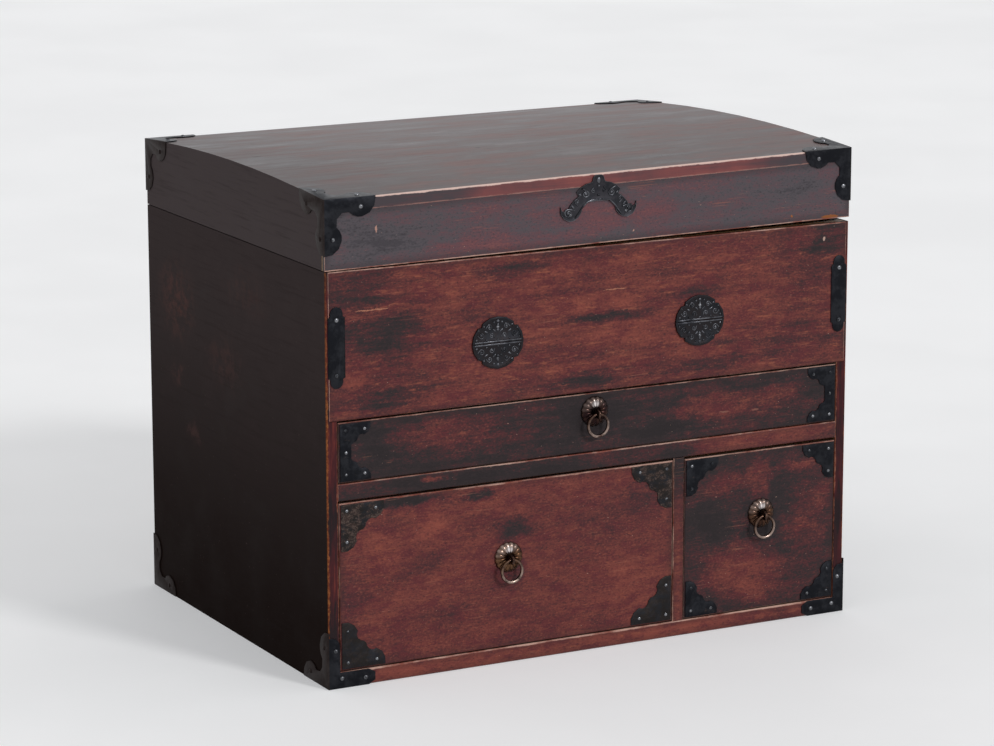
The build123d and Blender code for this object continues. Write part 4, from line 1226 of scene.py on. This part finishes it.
class CHEST_OT_ring_pulls(bpy.types.Operator):
    """Split-pin eyes and hanging rings"""

    bl_idname = "chest.ring_pulls"
    bl_label = "Ring pulls"

    def execute(self, context):
        colours = context.scene.chest_colours
        sizes = context.scene.chest_sizes
        ring = self.ring(sizes.ring_radius, sizes.ring_wire)
        eye = self.eye()
        for drawer, (x, z) in PULLS.items():
            top = z - EYE_DROP
            hang = top - sizes.ring_radius / MM
            name, dark = drawer + "_ring_bronze", 0.3 + 0.3 * PATINA[drawer]
            bronze = patinated_bronze(name, colours, seed=5.0 + x * MM, dark=dark, ring=(x, hang))
            piece = on_front(another(ring, "ring"), x, hang, EYE_STANDOFF)
            settle(piece, drawer + "_ring_drawn", bronze, drawer + "_pull", [drawer + "_ring"])
            piece = on_front(another(eye, "eye"), x, top, 0.0)
            settle(piece, drawer + "_eye_bent", bronze, drawer, [drawer + "_ring_eye"])
        bpy.data.objects.remove(ring)
        bpy.data.objects.remove(eye)
        return {"FINISHED"}

    def ring(self, radius, wire):
        """Bar bent round, deeper than it is thick and heaviest below, worn thinner where it hangs."""
        rounds = 72
        bpy.ops.mesh.primitive_torus_add(
            major_segments=rounds, minor_segments=16, major_radius=radius, minor_radius=wire
        )
        piece = bpy.context.active_object
        for turn in range(rounds):
            place = radians(turn * 360 / rounds)
            centre = Vector((radius * cos(place), radius * sin(place), 0))
            heavy = (1 - sin(place)) / 2
            pick(piece, lambda co: (co.xy.normalized() - centre.xy.normalized()).length < 0.01)
            resize((0.92 + 0.2 * heavy, 0.92 + 0.2 * heavy, 0.9 + 0.35 * heavy), centre)
        pick(piece, lambda co: abs(degrees(atan2(co.y, co.x)) - 20) < 3)
        resize((1, 1, 0.82))
        bpy.ops.mesh.select_all(action="SELECT")
        bpy.ops.transform.vertex_random(offset=0.03 * MM, seed=5)
        mode("OBJECT")
        outward(piece)
        bpy.ops.object.shade_smooth()
        return piece

    def eye(self):
        """A loop in front, a shank through the wood and two legs clenched behind."""
        bpy.ops.mesh.primitive_torus_add(
            major_segments=36, minor_segments=12, major_radius=2.15 * MM, minor_radius=0.9 * MM
        )
        loop = bpy.context.active_object
        loop.rotation_euler = Euler((0, radians(90), 0))
        loop.location = (0, 0, EYE_STANDOFF * MM)
        bpy.ops.object.transform_apply()
        edit(loop)
        pick(loop, lambda co: co.z < (EYE_STANDOFF - 1.6) * MM)
        resize((1, 0.8, 1))
        mode("OBJECT")
        low, high = -10.0 * MM, (EYE_STANDOFF - 2.2) * MM
        bpy.ops.mesh.primitive_cylinder_add(
            vertices=20, radius=1.1 * MM, depth=high - low, location=(0, 0, (high + low) / 2)
        )
        shank = bpy.context.active_object
        bpy.ops.object.transform_apply()
        soften(shank, 0.15)
        legs = []
        behind = -10.35 * MM
        for side in (-1, 1):
            bpy.ops.mesh.primitive_cube_add(size=1.0, location=(0, side * 3.6 * MM, behind))
            leg = bpy.context.active_object
            leg.scale = millimetres((1.4, 6.8, 0.6))
            bpy.ops.object.transform_apply()
            edit(leg)
            pick(leg, lambda co, side=side: co.y * side > 5 * MM)
            resize((0.35, 1, 0.7), (0, side * 7 * MM, behind))
            mode("OBJECT")
            soften(leg, 0.12)
            legs.append(leg)
        piece = join([loop, shank, *legs])
        smooth(50)
        return piece


class CHEST_OT_stage(bpy.types.Operator):
    """Pale floor, soft studio light and the camera"""

    bl_idname = "chest.stage"
    bl_label = "Stage"

    def execute(self, context):
        scene = context.scene
        scene.view_settings.view_transform = "Standard"
        self.floor()
        self.world(scene)
        self.sun("key", (0.84, -2.0, 1.2), 1.2, 10.0)
        camera = bpy.data.cameras.new("camera")
        camera.sensor_width = 36.0
        camera.lens = 134.851
        camera.clip_end = 50.0
        eye = bpy.data.objects.new("camera", camera)
        scene.collection.objects.link(eye)
        eye.location = (-1.14201, -2.15597, 0.69228)
        eye.rotation_euler = Euler((radians(90 - 12.3993), radians(0.0656), radians(-27.9762)))
        scene.camera = eye
        return {"FINISHED"}

    def floor(self):
        bpy.ops.mesh.primitive_plane_add(size=14.0, location=(0, 0, -0.0002))
        floor = bpy.context.active_object
        floor.name = "floor"
        material, add, place = new_material("pale_matt_paint_floor")
        mottle = clouds(add, place, (220, 220, 220), 4.0, 0.6, 1.0)
        colour = coat(add, "#e2e2e2", "#e8e8e8", mottle, 0.3, 0.7)
        glow = add(TIMES, seen_rays(add), 0.28)
        lit = {"Emission_Color": "#f2f4f8", "Emission_Strength": glow}
        finish_material(add, colour, 0.9, Specular_IOR_Level=0.2, **lit)
        floor.data.materials.append(material)

    def world(self, scene):
        """Soft grey light from all round, and a pale wall for the camera and for reflections."""
        world = bpy.data.worlds.new("studio")
        scene.world = world
        world.use_nodes = True
        world.node_tree.nodes.clear()
        add = partial(add_node, world.node_tree)
        light = add("Background", "#ffffff", 0.55)
        wall = add("Background", "#e4e5e8", 1.0)
        add("OutputWorld", add("MixShader", seen_rays(add), light, wall))

    def sun(self, name, towards, strength, spread):
        """A far soft lamp, so that the floor is lit evenly; spread is its width in degrees."""
        data = bpy.data.lights.new(name, "SUN")
        data.energy = strength
        data.angle = radians(spread)
        lamp = bpy.data.objects.new(name, data)
        bpy.context.scene.collection.objects.link(lamp)
        lamp.location = towards
        lamp.rotation_mode = "QUATERNION"
        lamp.rotation_quaternion = (-Vector(towards)).to_track_quat("-Z", "Y")


# ---------------------------------------------------------------- panel and registration


STEPS = (
    CHEST_OT_case_boards,
    CHEST_OT_lid_boards,
    CHEST_OT_drawer_fronts,
    CHEST_OT_drawer_boxes,
    CHEST_OT_iron_plates,
    CHEST_OT_nails,
    CHEST_OT_medallions,
    CHEST_OT_lid_ornament,
    CHEST_OT_rosettes,
    CHEST_OT_ring_pulls,
    CHEST_OT_stage,
)


class CHEST_PT_panel(bpy.types.Panel):
    """Lists the steps that finish the chest"""

    bl_idname = "CHEST_PT_panel"
    bl_label = "Drawer chest"
    bl_space_type = "VIEW_3D"
    bl_region_type = "UI"
    bl_category = "Chest"

    def draw(self, context):
        layout = self.layout
        for group in (context.scene.chest_colours, context.scene.chest_sizes):
            for name in group.bl_rna.properties.keys():
                if name not in ("rna_type", "name"):
                    layout.prop(group, name)
        for step in STEPS:
            layout.operator(step.bl_idname)


CLASSES = (ChestColours, ChestSizes, *STEPS, CHEST_PT_panel)


def register():
    for one in CLASSES:
        bpy.utils.register_class(one)
    bpy.types.Scene.chest_colours = bpy.props.PointerProperty(type=ChestColours)
    bpy.types.Scene.chest_sizes = bpy.props.PointerProperty(type=ChestSizes)


def unregister():
    del bpy.types.Scene.chest_sizes
    del bpy.types.Scene.chest_colours
    for one in reversed(CLASSES):
        bpy.utils.unregister_class(one)


def main():
    register()
    for step in STEPS:
        group, name = step.bl_idname.split(".")
        getattr(getattr(bpy.ops, group), name)()


if __name__ == "__main__":
    main()
